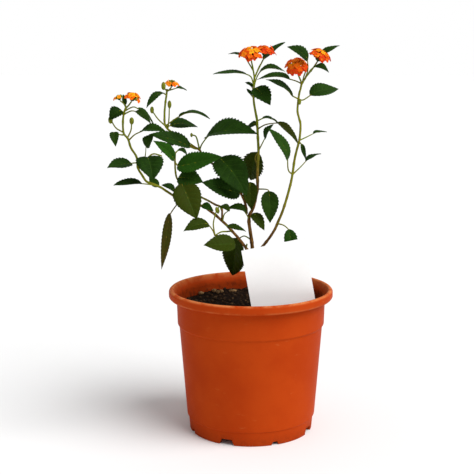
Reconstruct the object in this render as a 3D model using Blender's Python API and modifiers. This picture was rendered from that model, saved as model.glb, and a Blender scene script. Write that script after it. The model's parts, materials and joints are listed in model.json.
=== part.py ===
"""Potted lantana: a plant with toothed leaves and flower heads, in a round plastic pot.

Metres, +Z up. The origin is the centre of the pot's underside, and -Y is the front.
Stems and leaves are laid out from points read by hand on the reference view, each as
(across, down, depth): two view coordinates and the depth in millimetres behind the pot's axis.
"""

import math
import random

import bmesh
import bpy
from mathutils import Matrix, Vector

MM = 0.001
TURN_STEPS = 28

# The reference view: a level-sided camera that looks slightly down on the pot's axis
VIEW_DISTANCE = 1.012
VIEW_HEIGHT = 0.378
VIEW_PITCH = math.radians(9.86)
VIEW_FOCAL = 997.0
VIEW_CENTRE_DOWN = 237.0
VIEW_AXIS_ACROSS = 250.79
TOWARDS_VIEW = Vector((0.0, -math.cos(VIEW_PITCH), math.sin(VIEW_PITCH)))
VIEW_UP = Vector((0.0, math.sin(VIEW_PITCH), math.cos(VIEW_PITCH)))

# Pot
POT_HEIGHT = 149 * MM
RIM_RADIUS = 85 * MM
FOOT_RADIUS = 64.3 * MM
FLOOR_LOW = 7.5 * MM
FLOOR_HIGH = 10.0 * MM
PAD_RADIUS = 13 * MM
NOTCHES = 8
DRAINS = 6
# Width at the ground, width at the top and height of the narrow and of the wide notches
NOTCH_SIZES = ((8.0 * MM, 4.8 * MM, 3.6 * MM), (16.4 * MM, 11.2 * MM, 6.0 * MM))
DRAIN_RADIUS = 4 * MM
DRAIN_CIRCLE = 36 * MM

# Soil and the card
SOIL_LEVEL = 130 * MM
CLEAR = 0.3 * MM
CARD_WIDTH = 65 * MM
CARD_HEIGHT = 79 * MM
CARD_THICK = 0.8 * MM
CARD_ROLL = math.radians(9.8)
CARD_LEAN = math.radians(2)
CARD_TURN = math.radians(9)
CARD_TOP_LEFT = (241.3, 250.8, -42)

# Leaves
BLADE_THICK = 0.7 * MM
PETIOLE_RADIUS = 0.75 * MM
LEAF_FOLD = math.radians(14)
# The share of the blade that its petiole runs on into
PETIOLE_RUN = 0.14

# Flowers: the core's share of a head, the angle its outer florets lean to and the widest floret
CORE_SHARE = 0.38
OUTER_LEAN = math.radians(76)
LIMB_RADIUS = 3.9 * MM
LOBES = 4

COLOURS = {
    "pot": ((0.56, 0.13, 0.03), 0.45),
    "soil": ((0.05, 0.03, 0.02), 0.95),
    "card": ((0.87, 0.87, 0.84), 0.7),
    "foliage": ((0.06, 0.16, 0.04), 0.45),
    "petals": ((0.85, 0.22, 0.03), 0.6),
}


def view_point(point):
    """The place seen at (across, down) in the reference view, at the given depth in millimetres."""
    across, down, depth = point
    away = VIEW_DISTANCE + depth * MM
    slope = math.atan((VIEW_CENTRE_DOWN - down) / VIEW_FOCAL) - VIEW_PITCH
    z = VIEW_HEIGHT + away * math.tan(slope)
    forward = away * math.cos(VIEW_PITCH) - (z - VIEW_HEIGHT) * math.sin(VIEW_PITCH)
    return Vector(((across - VIEW_AXIS_ACROSS) / VIEW_FOCAL * forward, depth * MM, z))


# Stems: radius in mm at the foot and at the top, and the points from the foot up
STEMS = {
    "base": (3.3, 2.6, [
        (258, 306, 2), (258, 300, 2), (257, 290, 1), (256, 280, 0), (255.5, 272, 0), (254.5, 265, 0)]),
    "left": (1.5, 1.0, [
        (250.5, 257, -1), (248, 251, -2), (240, 240, -3), (232, 231, -4), (226, 224.5, -5), (221, 220, -6),
        (215.5, 215, -7), (210, 211, -8), (203, 206.5, -10), (187, 201, -14), (174.5, 196, -17),
        (167, 191.5, -19),
        (160, 187, -20), (151, 183.5, -22), (146, 181, -23), (142, 175, -24), (138, 168, -25),
        (136.5, 157, -26),
        (131, 148, -27), (128, 139, -27), (124, 134, -27), (123, 128, -27), (123, 120, -27), (124, 113, -27),
        (126, 107, -27)]),
    "shoot": (1.1, 0.9, [
        (222, 221, -6), (221.5, 208, -5), (215, 204.5, -5), (208, 200.5, -5), (201, 197, -5), (187, 188, -5),
        (178, 180, -4), (175.5, 172, -3), (175, 160, -2), (175.3, 152, -2)]),
    "centre": (2.0, 1.0, [
        (254.5, 266, 0), (253.5, 260, 1), (252.5, 249, 2), (251.5, 240, 3), (250, 230, 4), (249, 222, 5),
        (249.5, 215, 6), (252, 210.5, 7), (254, 205, 8), (256, 196, 9), (257.5, 188, 10), (257.5, 170, 11),
        (258, 160, 12), (258.5, 150, 12), (258, 140, 13), (257.5, 129, 13), (257, 120, 14), (255.5, 112, 14),
        (254, 103, 14), (253.5, 95, 14), (254, 87, 14), (254.5, 76, 14)]),
    "inner": (1.4, 1.0, [
        (246.6, 214, 8), (246, 207, 9), (244, 200, 10), (240, 192, 12), (236, 187.5, 14), (231, 181.5, 16),
        (225, 174.5, 18), (220, 170, 19), (215, 166, 20), (210, 161.5, 21), (203, 156, 23), (199.5, 150, 24),
        (195, 147.5, 25), (190, 145.5, 25), (186, 144, 26), (177, 136, 27), (166, 127, 28), (164.5, 115, 28),
        (165.5, 102, 28), (166.5, 95, 28), (167, 89, 28)]),
    "right": (1.5, 1.0, [
        (256.2, 262, -1.5), (259.2, 256, -4), (261.5, 248, -5), (265, 243.5, -6), (270, 237, -8),
        (275, 229, -9), (278, 222, -10),
        (281.5, 214, -11), (284, 207, -12), (286.5, 199, -12), (289, 190, -13), (291, 182, -13),
        (292.5, 174, -14),
        (294.5, 160, -14), (296.5, 151, -14), (299.5, 139, -14), (300.5, 125, -14), (299, 118, -14),
        (297.5, 110, -14), (299, 95, -14), (300.5, 89, -14), (302, 82, -14)]),
}

# Small stalks: side twigs and flower stalks, by the stem that bears them
STALKS = {
    "leafy_stem_left": [
        (0.7, [(126, 108, -27), (124, 104, -28), (120, 100.5, -29)]),
        (0.8, [(126, 108, -27), (128.5, 105.5, -26), (131.5, 101.5, -25)]),
        (0.7, [(127.5, 138, -27), (131, 130, -24), (131.5, 123, -23)]),
        (0.7, [(122.5, 132, -27), (116, 128, -30), (112, 122, -32)]),
        (0.8, [(140, 169, -25), (146, 160, -24), (153, 154, -22), (162, 156, -21)]),
        (0.9, [(246, 248, -2), (247, 244, -4)]),
        (0.7, [(221.5, 210, -5), (219.5, 206, -8), (218, 209, -9)]),
        (0.8, [(232, 231, -4), (227, 231.5, -11), (221, 232, -18), (215, 235.5, -24)]),
        (0.7, [(215, 235.5, -24), (213.8, 229, -23), (213.5, 222, -21), (216.6, 210, -19)]),
    ],
    "leafy_stem_inner": [
        (0.8, [(199.5, 150, 24), (198, 143, 22), (197, 139, 21), (195.5, 136, 21), (192.5, 135, 21)]),
        (0.7, [(166, 126.5, 28), (158, 119, 26), (153, 112, 25)]),
        (0.7, [(168, 128, 28), (169, 118, 31), (169.3, 107, 32)]),
        (0.8, [(167, 91.5, 28), (169.5, 89.5, 28), (171.5, 87, 28)]),
        (0.7, [(167, 91, 28), (165, 89, 24), (163.6, 87, 20.5)]),
    ],
    "leafy_stem_centre": [
        (0.8, [(254.5, 78, 14), (253.2, 70, 12), (251.2, 60, 10)]),
        (0.8, [(254.5, 78, 14), (257.5, 71, 17), (264.5, 57, 26)]),
    ],
    "leafy_stem_right": [
        (0.8, [(302, 84, -14), (300, 79, -14), (297, 72, -15)]),
        (0.8, [(302, 84, -14), (306, 77, -12), (312, 69.5, -10), (317.5, 61.5, -8)]),
        (0.7, [(302, 84, -14), (304, 76, -11), (305.8, 71, -9)]),
    ],
}

# Leaves: petiole points (the first on its stem), tip, blade width in mm, the turn of the blade's
# face towards the view in degrees, and how far the midrib arches up in mm
LEAVES = {
    "leafy_stem_left": [
        ([(124, 113, -27), (122, 110.5, -30)], (109, 119.5, -36), 15, 60, 2),
        ([(124.5, 111, -27), (133, 107, -22), (137, 108.5, -19)], (155, 126, -8), 13, 28, 3),
        ([(124.5, 114, -27), (131, 111, -31), (135, 111.5, -34)], (151, 123, -44), 11, 28, 3),
        ([(126, 108.5, -27), (125.5, 105, -24)], (123, 94, -22), 5, 70, 1),
        ([(123, 135, -27), (119, 134.5, -31), (114, 132, -34)], (115.5, 146, -44), 13, 50, 3),
        ([(129, 140, -27), (135, 134.5, -31), (141, 132, -35)], (166, 131, -50), 16, 38, 3),
        ([(138, 166, -25), (143.5, 161, -31), (145.5, 154, -34), (146, 147, -35)],
         (153, 134.5, -40), 13, 55, 2),
        ([(138, 166, -25), (136, 163, -29), (131.5, 163.5, -33)], (107, 167.5, -50), 19, 42, 1),
        ([(138, 166, -25), (141, 159.5, -29), (147, 157, -31)], (153, 180, -58), 28, 30, 3),
        ([(157, 185.8, -20.6), (150, 184.5, -26), (142, 183.5, -31)], (113.5, 185, -48), 16, 32, 0.5),
        ([(160, 187, -20), (158, 187, -15)], (149, 177, -8), 9, 55, 1),
        ([(175.3, 162, -2), (174.5, 160, -6)], (153.5, 140.5, -24), 17, 66, 2),
        ([(175.3, 163, -2), (177, 165, -6)], (222, 156, -26), 22, 62, 1),
        ([(175.3, 153, -2), (177, 150.5, 1)], (189, 158, 8), 8, 40, 3),
        ([(183, 184.5, -4.6), (181, 178, -8)], (203, 181, -20), 19, 62, 2),
        ([(187, 188, -5), (184, 190, -12), (182.5, 187, -18)], (196, 219, -34), 27, 68, 2),
        ([(174.5, 196, -17), (174.5, 191, -20)], (162, 184.5, -26), 9, 55, 2),
        ([(182, 199, -15.3), (175, 207, -22), (169.5, 213, -25)], (161.5, 270, -34), 10, 72, -2),
        ([(203, 206.5, -10), (201.5, 205, -14)], (213.5, 210.5, -18), 9, 55, 2),
        ([(215, 235.5, -24), (212.5, 230, -26), (209, 224.5, -28)], (183.5, 230.5, -42), 17, 48, 3),
        ([(222.5, 221, -6), (224.5, 214, -10), (230, 210.5, -13)], (219.5, 206, -16), 9, 50, 2),
        ([(215, 235.5, -24), (222, 236, -28), (231, 240.5, -32)], (203.5, 245, -46), 22, 60, 1),
        ([(226, 224.5, -5), (226.5, 226.5, -10)], (246, 231, -18), 9, 35, 2),
    ],
    "leafy_stem_inner": [
        ([(166.5, 95, 28), (164, 93, 24)], (146, 107, 12), 12, 28, 4),
        ([(167, 91, 28), (176, 88, 32)], (187, 90, 36), 7, 30, 1),
        ([(165.5, 126, 28), (175, 119, 23), (179, 117, 21)], (210, 117, 8), 17, 14, 5),
        ([(166, 127, 28), (170, 126, 31)], (198, 126, 44), 20, 40, 3),
        ([(197, 148.8, 24.5), (194, 148.5, 23), (190.5, 147, 21)], (149, 134, 6), 20, 52, 2),
        ([(199.5, 150, 24), (202, 144, 24), (205, 139.5, 23)], (257.5, 134.5, -7), 31, 60, 6),
        ([(199.5, 150, 24), (188, 142, 34), (184, 139, 38)], (160, 152, 54), 22, 40, 4),
        ([(210, 161.5, 21), (219, 158, 14)], (247, 195, -16), 33, 60, 4),
        ([(240, 192, 12), (240, 194, 8)], (202, 182, -9), 24, 66, 2),
    ],
    "leafy_stem_centre": [
        ([(254, 86, 14), (251, 77, 12), (246.5, 74, 10)], (213, 73.5, -4), 16, 22, 1.5),
        ([(254, 86, 14), (257, 77, 18), (259, 73, 20)], (285, 70, 16), 16, 22, 4),
        ([(253, 70, 12), (246, 58, 14)], (228.5, 53, 18), 8, 25, 2),
        ([(256, 74.5, 16), (259, 67, 27), (263, 60, 35)], (285, 41.5, 46), 10, 35, 2),
        ([(253.8, 94, 14), (255, 88, 9)], (270.5, 104.5, -6), 20, 55, 2),
        ([(253.8, 91, 14), (252.5, 87.5, 18)], (245, 82, 22), 6, 35, 1),
        ([(257.5, 129, 13), (256.5, 124, 16)], (244, 132, 28), 14, 45, 2),
        ([(257.5, 129, 13), (266, 124.5, 8), (276, 122.5, 5)], (299, 143.5, -2), 12, 30, 3),
        ([(257, 121, 14), (262, 118.5, 18)], (280, 124, 30), 9, 25, 3),
        ([(258.3, 151, 12), (262, 144, 9), (265, 139, 7)], (272.5, 124, 1), 15, 35, 2),
        ([(257.5, 166, 11), (255, 158, 19), (258, 152, 24)], (250, 181, 40), 25, 58, 4),
        ([(256, 197, 9), (252, 190, 10), (250, 182, 9)], (251.5, 210, 0), 16, 60, 3),
        ([(257.5, 189, 10), (267, 189.5, 3), (269, 191, 1)], (270, 223, -11), 19, 66, 3),
        ([(249.2, 219, 5.5), (246.5, 214.5, 1)], (226, 208, -2), 12, 40, 5),
        ([(249.3, 218, 6), (253, 213, 1)], (264.5, 230, -12), 12, 50, 2),
        ([(253.7, 98, 14), (251.5, 95.5, 17)], (246.5, 88.5, 20), 5, 35, 1),
        ([(251.5, 240, 3), (244, 236, 14), (238, 238, 26)], (231.5, 275, 50), 27, 64, 3),
    ],
    "leafy_stem_right": [
        ([(302, 84, -14), (296, 81, -9), (290, 79.5, -6)], (257, 78.5, 0), 18, 26, 3),
        ([(298.5, 99, -14), (293, 97, -19)], (266.5, 78.5, -30), 18, 34, 3),
        ([(298.5, 99, -14), (303, 100, -10), (310, 95.5, -6)], (339, 88, 10), 21, 46, 3),
        ([(305, 79, -12), (307.8, 70, -17.5), (307.8, 60.5, -22)], (288, 46, -30), 14, 58, 3),
        ([(311, 71, -10), (317, 62, 4), (321, 56, 8)], (339.5, 45, 12), 9, 40, 2),
        ([(308, 74.5, -11), (311, 69.5, -16), (314, 67, -18)], (329, 71.5, -26), 11, 36, 2),
        ([(299.3, 140.5, -14), (306, 137.3, -10), (313, 133.5, -7)], (327, 131.5, -2), 8, 20, 1),
        ([(299, 141.5, -14), (301.3, 143.5, -16)], (306, 160, -22), 5, 40, 1),
        ([(292.5, 174.5, -14), (300, 167.5, -8), (305.5, 161.5, -5)], (321, 153, 6), 8, 20, 2),
        ([(292.5, 174.5, -14), (288.3, 170, -18), (287.5, 160, -21)], (269, 127.5, -34), 17, 44, 5),
        ([(277.5, 223.5, -10), (284, 225.5, -13), (289, 229, -15)], (292.5, 257, -22), 14, 62, 2),
    ],
}

# Flower heads: the seat at the stalk's end, the way it faces, its width in mm and its florets
HEADS = {
    "flower_head_centre_front": ((251.2, 60, 10), (-0.1, -0.45, 0.9), 24, 8),
    "flower_head_centre_back": ((264.5, 57, 26), (0.15, 0.05, 0.95), 20, 7),
    "flower_head_right_front": ((297, 72, -15), (-0.25, -0.85, 0.6), 26, 10),
    "flower_head_right_side": ((317.5, 61.5, -8), (0.35, -0.15, 0.9), 23, 8),
    "flower_head_left_small": ((120, 100.5, -29), (-0.3, -0.2, 0.9), 11, 5),
    "flower_head_left": ((131.5, 101.5, -25), (0.3, -0.2, 0.9), 16, 6),
    "flower_head_inner": ((171.5, 87, 28), (0.1, -0.3, 0.9), 14, 5),
}

# Green buds fused to their stalks: centre, length and width in mm
BUDS = {
    "leafy_stem_left": [((131.7, 121, -23), 6.5, 5), ((110.5, 120, -32), 6.5, 5), ((218, 211, -9), 5, 3.5),
                        ((216.7, 209.5, -19), 5, 3.5)],
    "leafy_stem_inner": [((152, 110, 25), 6.5, 4.5), ((169.5, 104.5, 32), 7.5, 4.5),
                         ((163.5, 86, 20), 7.5, 5), ((191.5, 135, 21), 4, 3)],
    "leafy_stem_centre": [],
    "leafy_stem_right": [((306, 69.5, -9), 4.5, 3.5), ((299.6, 102, -15.5), 5, 3.5)],
}


def new_material(name):
    colour, roughness = COLOURS[name]
    material = bpy.data.materials.new(name)
    material.use_nodes = True
    shader = material.node_tree.nodes["Principled BSDF"]
    shader.inputs["Base Color"].default_value = (*colour, 1.0)
    shader.inputs["Roughness"].default_value = roughness
    return material


def new_object(name, mesh, collection):
    made = bpy.data.objects.new(name, mesh)
    collection.objects.link(made)
    return made


def new_collection(name, shown=True):
    collection = bpy.data.collections.new(name)
    bpy.context.scene.collection.children.link(collection)
    collection.hide_render = not shown
    return collection


def mesh_from(name, points, faces):
    mesh = bpy.data.meshes.new(name)
    mesh.from_pydata([tuple(point) for point in points], [], faces)
    mesh.validate()
    return mesh


def turned(name, profile, collection, steps=TURN_STEPS):
    """A solid of revolution from a closed run of (radius, height) points, outer side downwards."""
    points = [(radius, 0.0, height) for radius, height in profile]
    edges = [(i, i + 1) for i in range(len(points) - 1)]
    mesh = bpy.data.meshes.new(name)
    mesh.from_pydata(points, edges, [])
    made = new_object(name, mesh, collection)
    screw = made.modifiers.new("Turn", "SCREW")
    screw.steps = steps
    screw.render_steps = steps
    screw.use_merge_vertices = True
    screw.merge_threshold = 0.00001
    return made


def applied(made):
    """The object with its modifiers applied to its mesh."""
    bpy.context.view_layer.update()
    graph = bpy.context.evaluated_depsgraph_get()
    mesh = bpy.data.meshes.new_from_object(made.evaluated_get(graph))
    made.modifiers.clear()
    made.data = mesh
    return made


def cut(made, cutters):
    """Takes every object of the cutters' collection away from a solid."""
    boolean = made.modifiers.new("Cut", "BOOLEAN")
    boolean.operation = "DIFFERENCE"
    boolean.operand_type = "COLLECTION"
    boolean.collection = cutters
    boolean.solver = "EXACT"
    applied(made)
    empty(cutters)


def join(made, pieces):
    """Fuses every object of a collection into one solid."""
    boolean = made.modifiers.new("Join", "BOOLEAN")
    boolean.operation = "UNION"
    boolean.operand_type = "COLLECTION"
    boolean.collection = pieces
    boolean.solver = "MANIFOLD"
    applied(made)
    empty(pieces)


def empty(collection):
    for made in list(collection.objects):
        bpy.data.objects.remove(made, do_unlink=True)


# Pot

def pot_profile():
    """The pot's section from the lip down the outside, under the floor and up the inside."""
    return [
        (81.6 * MM, POT_HEIGHT), (84.0 * MM, POT_HEIGHT - 0.4 * MM), (RIM_RADIUS, POT_HEIGHT - 2.4 * MM),
        (RIM_RADIUS - 0.2 * MM, 141.0 * MM), (83.6 * MM, 139.5 * MM), (77.0 * MM, 139.0 * MM),
        (76.2 * MM, 112.5 * MM), (74.5 * MM, 111.0 * MM), (67.1 * MM, 15.5 * MM), (65.6 * MM, 14.7 * MM),
        (FOOT_RADIUS, 0.0), (61.6 * MM, 0.0), (62.2 * MM, FLOOR_LOW), (PAD_RADIUS + 1 * MM, FLOOR_LOW),
        (PAD_RADIUS, 0.0), (0.0, 0.0),
    ]


def pot_inside():
    """The inner section from the floor's middle out and up to the lip."""
    return [
        (0.0, FLOOR_HIGH), (63.4 * MM, FLOOR_HIGH), (72.7 * MM, 111.0 * MM), (74.9 * MM, 113.0 * MM),
        (75.5 * MM, 139.5 * MM), (80.6 * MM, POT_HEIGHT - 0.5 * MM), (81.6 * MM, POT_HEIGHT),
    ]


def foot_notch(angle, size, collection):
    """A wedge that is wider at the ground, cut through the foot ring."""
    low, high, height = size
    bm = bmesh.new()
    made = bmesh.ops.create_cube(bm, size=1.0)
    for vert in made["verts"]:
        half = low / 2 if vert.co.z < 0 else high / 2
        vert.co.y = math.copysign(half, vert.co.y)
        vert.co.x = 64 * MM + math.copysign(4 * MM, vert.co.x)
        vert.co.z = -2 * MM if vert.co.z < 0 else height
    bmesh.ops.rotate(bm, verts=bm.verts, cent=(0, 0, 0), matrix=Matrix.Rotation(angle, 3, "Z"))
    mesh = bpy.data.meshes.new("notch")
    bm.to_mesh(mesh)
    bm.free()
    return new_object("notch", mesh, collection)


def cylinder(name, radius, low, high, place, collection, sides=16):
    bm = bmesh.new()
    middle = Matrix.Translation((place[0], place[1], (low + high) / 2))
    bmesh.ops.create_cone(
        bm, cap_ends=True, segments=sides, radius1=radius, radius2=radius, depth=high - low, matrix=middle)
    mesh = bpy.data.meshes.new(name)
    bm.to_mesh(mesh)
    bm.free()
    return new_object(name, mesh, collection)


def make_pot(collection, cutters):
    pot = turned("pot", pot_profile() + pot_inside(), collection)
    applied(pot)
    for i in range(NOTCHES):
        angle = (i + 0.5) * math.tau / NOTCHES - math.pi / 2
        foot_notch(angle, NOTCH_SIZES[i % 2], cutters)
    for i in range(DRAINS):
        angle = i * math.tau / DRAINS
        place = (DRAIN_CIRCLE * math.cos(angle), DRAIN_CIRCLE * math.sin(angle))
        cylinder("drain", DRAIN_RADIUS, 5 * MM, 13 * MM, place, cutters)
    cut(pot, cutters)
    pot.data.materials.append(new_material("pot"))
    return pot


# Soil, with a hole for the stem and a slot for the card

def soil_height(x, y):
    """Crumbly ground: a shallow dish with a few crossing waves."""
    waves = 1.2 * math.sin(90 * x + 1.0) * math.cos(75 * y) + 0.7 * math.sin(210 * x - 160 * y)
    return SOIL_LEVEL + (waves + 260 * (x * x + y * y)) * MM


def make_soil(collection, cutters):
    outer = [
        (75.0 * MM, SOIL_LEVEL), (74.4 * MM, 113.4 * MM), (72.1 * MM, 111.2 * MM),
        (63.0 * MM, FLOOR_HIGH + CLEAR), (0.0, FLOOR_HIGH + CLEAR),
    ]
    top = [(0.0, SOIL_LEVEL)] + [(r * MM, SOIL_LEVEL) for r in (30, 56, 75.0)]
    soil = turned("potting_soil", outer + top, collection)
    applied(soil)
    for vert in soil.data.vertices:
        if vert.co.z > SOIL_LEVEL - 1 * MM:
            vert.co.z = soil_height(vert.co.x, vert.co.y)
    foot = view_point(STEMS["base"][2][0])
    cylinder("stem_hole", 4.2 * MM, 92 * MM, 200 * MM, (foot.x, foot.y), cutters)
    card_solid("card_slot", CLEAR + 0.2 * MM, cutters)
    cut(soil, cutters)
    soil.data.materials.append(new_material("soil"))
    return soil


def card_solid(name, grow, collection):
    """A thin upright card, turned in its plane and leaning back, grown all round by a clearance."""
    bm = bmesh.new()
    size = Matrix.Diagonal((CARD_WIDTH + 2 * grow, CARD_THICK + 2 * grow, CARD_HEIGHT + 2 * grow, 1.0))
    bmesh.ops.create_cube(bm, size=1.0, matrix=size)
    corner = Matrix.Translation((CARD_WIDTH / 2, 0, -CARD_HEIGHT / 2))
    lean = Matrix.Rotation(-CARD_LEAN, 4, "X") @ Matrix.Rotation(-CARD_ROLL, 4, "Y")
    turn = Matrix.Rotation(CARD_TURN, 4, "Z") @ lean
    place = Matrix.Translation(view_point(CARD_TOP_LEFT)) @ turn @ corner
    bmesh.ops.transform(bm, matrix=place, verts=bm.verts)
    mesh = bpy.data.meshes.new(name)
    bm.to_mesh(mesh)
    bm.free()
    return new_object(name, mesh, collection)


# Stems and leaves

def tube(name, points, foot, top, sides_level, collection):
    """A tapering rod through the points, with closed ends."""
    curve = bpy.data.curves.new(name, "CURVE")
    curve.dimensions = "3D"
    curve.bevel_depth = 1.0
    curve.bevel_resolution = sides_level
    curve.use_fill_caps = True
    spline = curve.splines.new("POLY")
    spline.points.add(len(points) - 1)
    for i, point in enumerate(points):
        share = i / (len(points) - 1)
        spline.points[i].co = (*point, 1.0)
        spline.points[i].radius = foot + (top - foot) * share
    made = new_object(name, curve, collection)
    bpy.context.view_layer.update()
    graph = bpy.context.evaluated_depsgraph_get()
    mesh = bpy.data.meshes.new_from_object(made.evaluated_get(graph))
    bpy.data.objects.remove(made, do_unlink=True)
    bm = bmesh.new()
    bm.from_mesh(mesh)
    bmesh.ops.remove_doubles(bm, verts=bm.verts, dist=0.00001)
    bmesh.ops.triangulate(bm, faces=bm.faces)
    bmesh.ops.recalc_face_normals(bm, faces=bm.faces)
    bm.to_mesh(mesh)
    bm.free()
    return new_object(name, mesh, collection)


def eased(points, rounds=1):
    """The points with their corners cut, for a smoothly bent stalk."""
    for _ in range(rounds):
        cut_points = [points[0]]
        for first, second in zip(points, points[1:]):
            cut_points.append(first.lerp(second, 0.25))
            cut_points.append(first.lerp(second, 0.75))
        points = cut_points + [points[-1]]
    return points


def blade(name, base, tip, width, facing, arch, collection):
    """A toothed ovate leaf, folded along its midrib, as a thin shell.

    The half width at a share t of the length follows t^0.62 (1 - t)^1.05. Each tooth points to the
    tip, and the midrib bows by a sine of t.
    """
    along = tip - base
    length = along.length
    axis = along.normalized()
    turn = math.radians(facing)
    normal = VIEW_UP * math.cos(turn) + TOWARDS_VIEW * math.sin(turn)
    normal = (normal - axis * normal.dot(axis)).normalized()
    side = axis.cross(normal)
    teeth = max(3, min(5, round(length / (10.5 * MM))))
    peak = 0.371 ** 0.62 * 0.629 ** 1.05

    def half_width(t):
        return width / 2 * t ** 0.62 * (1 - t) ** 1.05 / peak

    def place(t, out):
        rise = abs(out) * math.sin(LEAF_FOLD)
        bow = arch * math.sin(math.pi * t ** 0.8) - 0.35 * arch * t * t
        return base + axis * (length * t) + side * (out * math.cos(LEAF_FOLD)) + normal * (bow + rise)

    ribs = [place(0.0, 0.0)]
    edges = {1: [], -1: []}
    for i in range(teeth):
        low = (i + 0.18) / (teeth + 0.25)
        high = (i + 0.95) / (teeth + 0.25)
        ribs.append(place((low + high) / 2, 0.0))
        for hand in (1, -1):
            edges[hand].append(place(low + 0.02, hand * half_width(low + 0.02) * (0.82 if i else 0.9)))
            edges[hand].append(place(high, hand * half_width(high) * 1.06))
    ribs.append(place(1.0, 0.0))
    points = ribs + edges[1] + edges[-1]
    count = len(ribs)
    faces = []
    for hand, first in ((1, count), (-1, count + 2 * teeth)):
        loop = []
        for i in range(teeth):
            inner, outer = first + 2 * i, first + 2 * i + 1
            loop.append((i, inner, i + 1))
            following = outer + 1 if i < teeth - 1 else teeth + 1
            loop.append((i + 1, inner, outer))
            loop.append((i + 1, outer, following))
        faces += loop if hand == 1 else [tuple(reversed(face)) for face in loop]
    made = new_object(name, mesh_from(name, points, faces), collection)
    shell = made.modifiers.new("Thickness", "SOLIDIFY")
    shell.thickness = BLADE_THICK
    shell.offset = 0.0
    return made


def leaf(number, spec, pieces):
    """A petiole from the stem and a blade that its end runs into."""
    stalk, tip, width, facing, arch = spec
    places = [view_point(point) for point in stalk]
    base = places[-1]
    end = view_point(tip)
    sunk = base.lerp(end, PETIOLE_RUN)
    tube(f"petiole_{number}", places + [sunk], PETIOLE_RADIUS, PETIOLE_RADIUS * 0.6, 0, pieces)
    blade(f"blade_{number}", base, end, width * MM, facing, arch * MM, pieces)


def bud(number, spec, pieces):
    centre, length, width = spec
    bm = bmesh.new()
    bmesh.ops.create_uvsphere(bm, u_segments=6, v_segments=4, radius=0.5)
    bmesh.ops.scale(bm, verts=bm.verts, vec=(width * MM, width * MM, length * MM))
    bmesh.ops.translate(bm, verts=bm.verts, vec=view_point(centre))
    bmesh.ops.triangulate(bm, faces=bm.faces)
    mesh = bpy.data.meshes.new("bud")
    bm.to_mesh(mesh)
    bm.free()
    return new_object(f"bud_{number}", mesh, pieces)


def leafy_stem(name, stems, collection, pieces):
    """One node: its woody runs, small stalks, buds and leaves, fused."""
    first = None
    for stem in stems:
        foot, top, points = STEMS[stem]
        run = [view_point(point) for point in points]
        made = tube(f"run_{stem}", run, foot * MM, top * MM, 1, collection if first is None else pieces)
        first = first or made
    first.name = name
    for i, (radius, points) in enumerate(STALKS.get(name, [])):
        run = eased([view_point(point) for point in points])
        tube(f"stalk_{i}", run, radius * MM, radius * MM * 0.9, 0, pieces)
    for i, spec in enumerate(LEAVES.get(name, [])):
        leaf(i, spec, pieces)
    for i, spec in enumerate(BUDS.get(name, [])):
        bud(i, spec, pieces)
    join(first, pieces)
    first.data.materials.clear()
    first.data.materials.append(new_material("foliage"))
    return first


# Flower heads

def floret(number, root, heading, reach, limb, pieces):
    """A thin tube that opens into a flat limb of four round lobes."""
    axis = heading.normalized()
    side = axis.orthogonal().normalized()
    other = axis.cross(side)
    spin = number * 0.9
    around = 3 * LOBES
    top = root + axis * reach
    ring = []
    for k in range(around):
        angle = spin + k * math.tau / around
        radius = limb * (0.62 if k % 3 == 0 else 1.0)
        lift = -0.3 * MM if k % 3 == 0 else 0.5 * MM
        ring.append(top + (side * math.cos(angle) + other * math.sin(angle)) * radius + axis * lift)
    low = [point - axis * 0.7 * MM for point in ring]
    foot = []
    for k in range(LOBES):
        angle = spin + (3 * k + 1.5) * math.tau / around
        foot.append(root + (side * math.cos(angle) + other * math.sin(angle)) * 0.8 * MM)
    neck = [top - axis * 1.5 * MM + (point - root) for point in foot]
    points = ring + low + neck + foot + [top - axis * 0.4 * MM]
    crown = len(points) - 1
    faces = []
    for k in range(around):
        beside = (k + 1) % around
        faces += [(crown, k, beside), (k, k + around, beside), (beside, k + around, beside + around)]
    for k in range(LOBES):
        upper = 2 * around + k
        upper_beside = 2 * around + (k + 1) % LOBES
        lobe = around + 3 * k
        lobe_beside = around + (3 * k + 3) % around
        faces += [(lobe, upper, lobe + 1), (lobe + 1, upper, lobe + 2)]
        faces += [(lobe + 2, upper, lobe_beside), (lobe_beside, upper, upper_beside)]
        faces += [(upper, upper + LOBES, upper_beside), (upper_beside, upper + LOBES, upper_beside + LOBES)]
    low_foot = 2 * around + LOBES
    faces += [(low_foot, low_foot + 2, low_foot + 1), (low_foot, low_foot + 3, low_foot + 2)]
    mesh = mesh_from("floret", points, faces)
    bm = bmesh.new()
    bm.from_mesh(mesh)
    bmesh.ops.recalc_face_normals(bm, faces=bm.faces)
    bm.to_mesh(mesh)
    bm.free()
    return new_object(f"floret_{number}", mesh, pieces)


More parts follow.
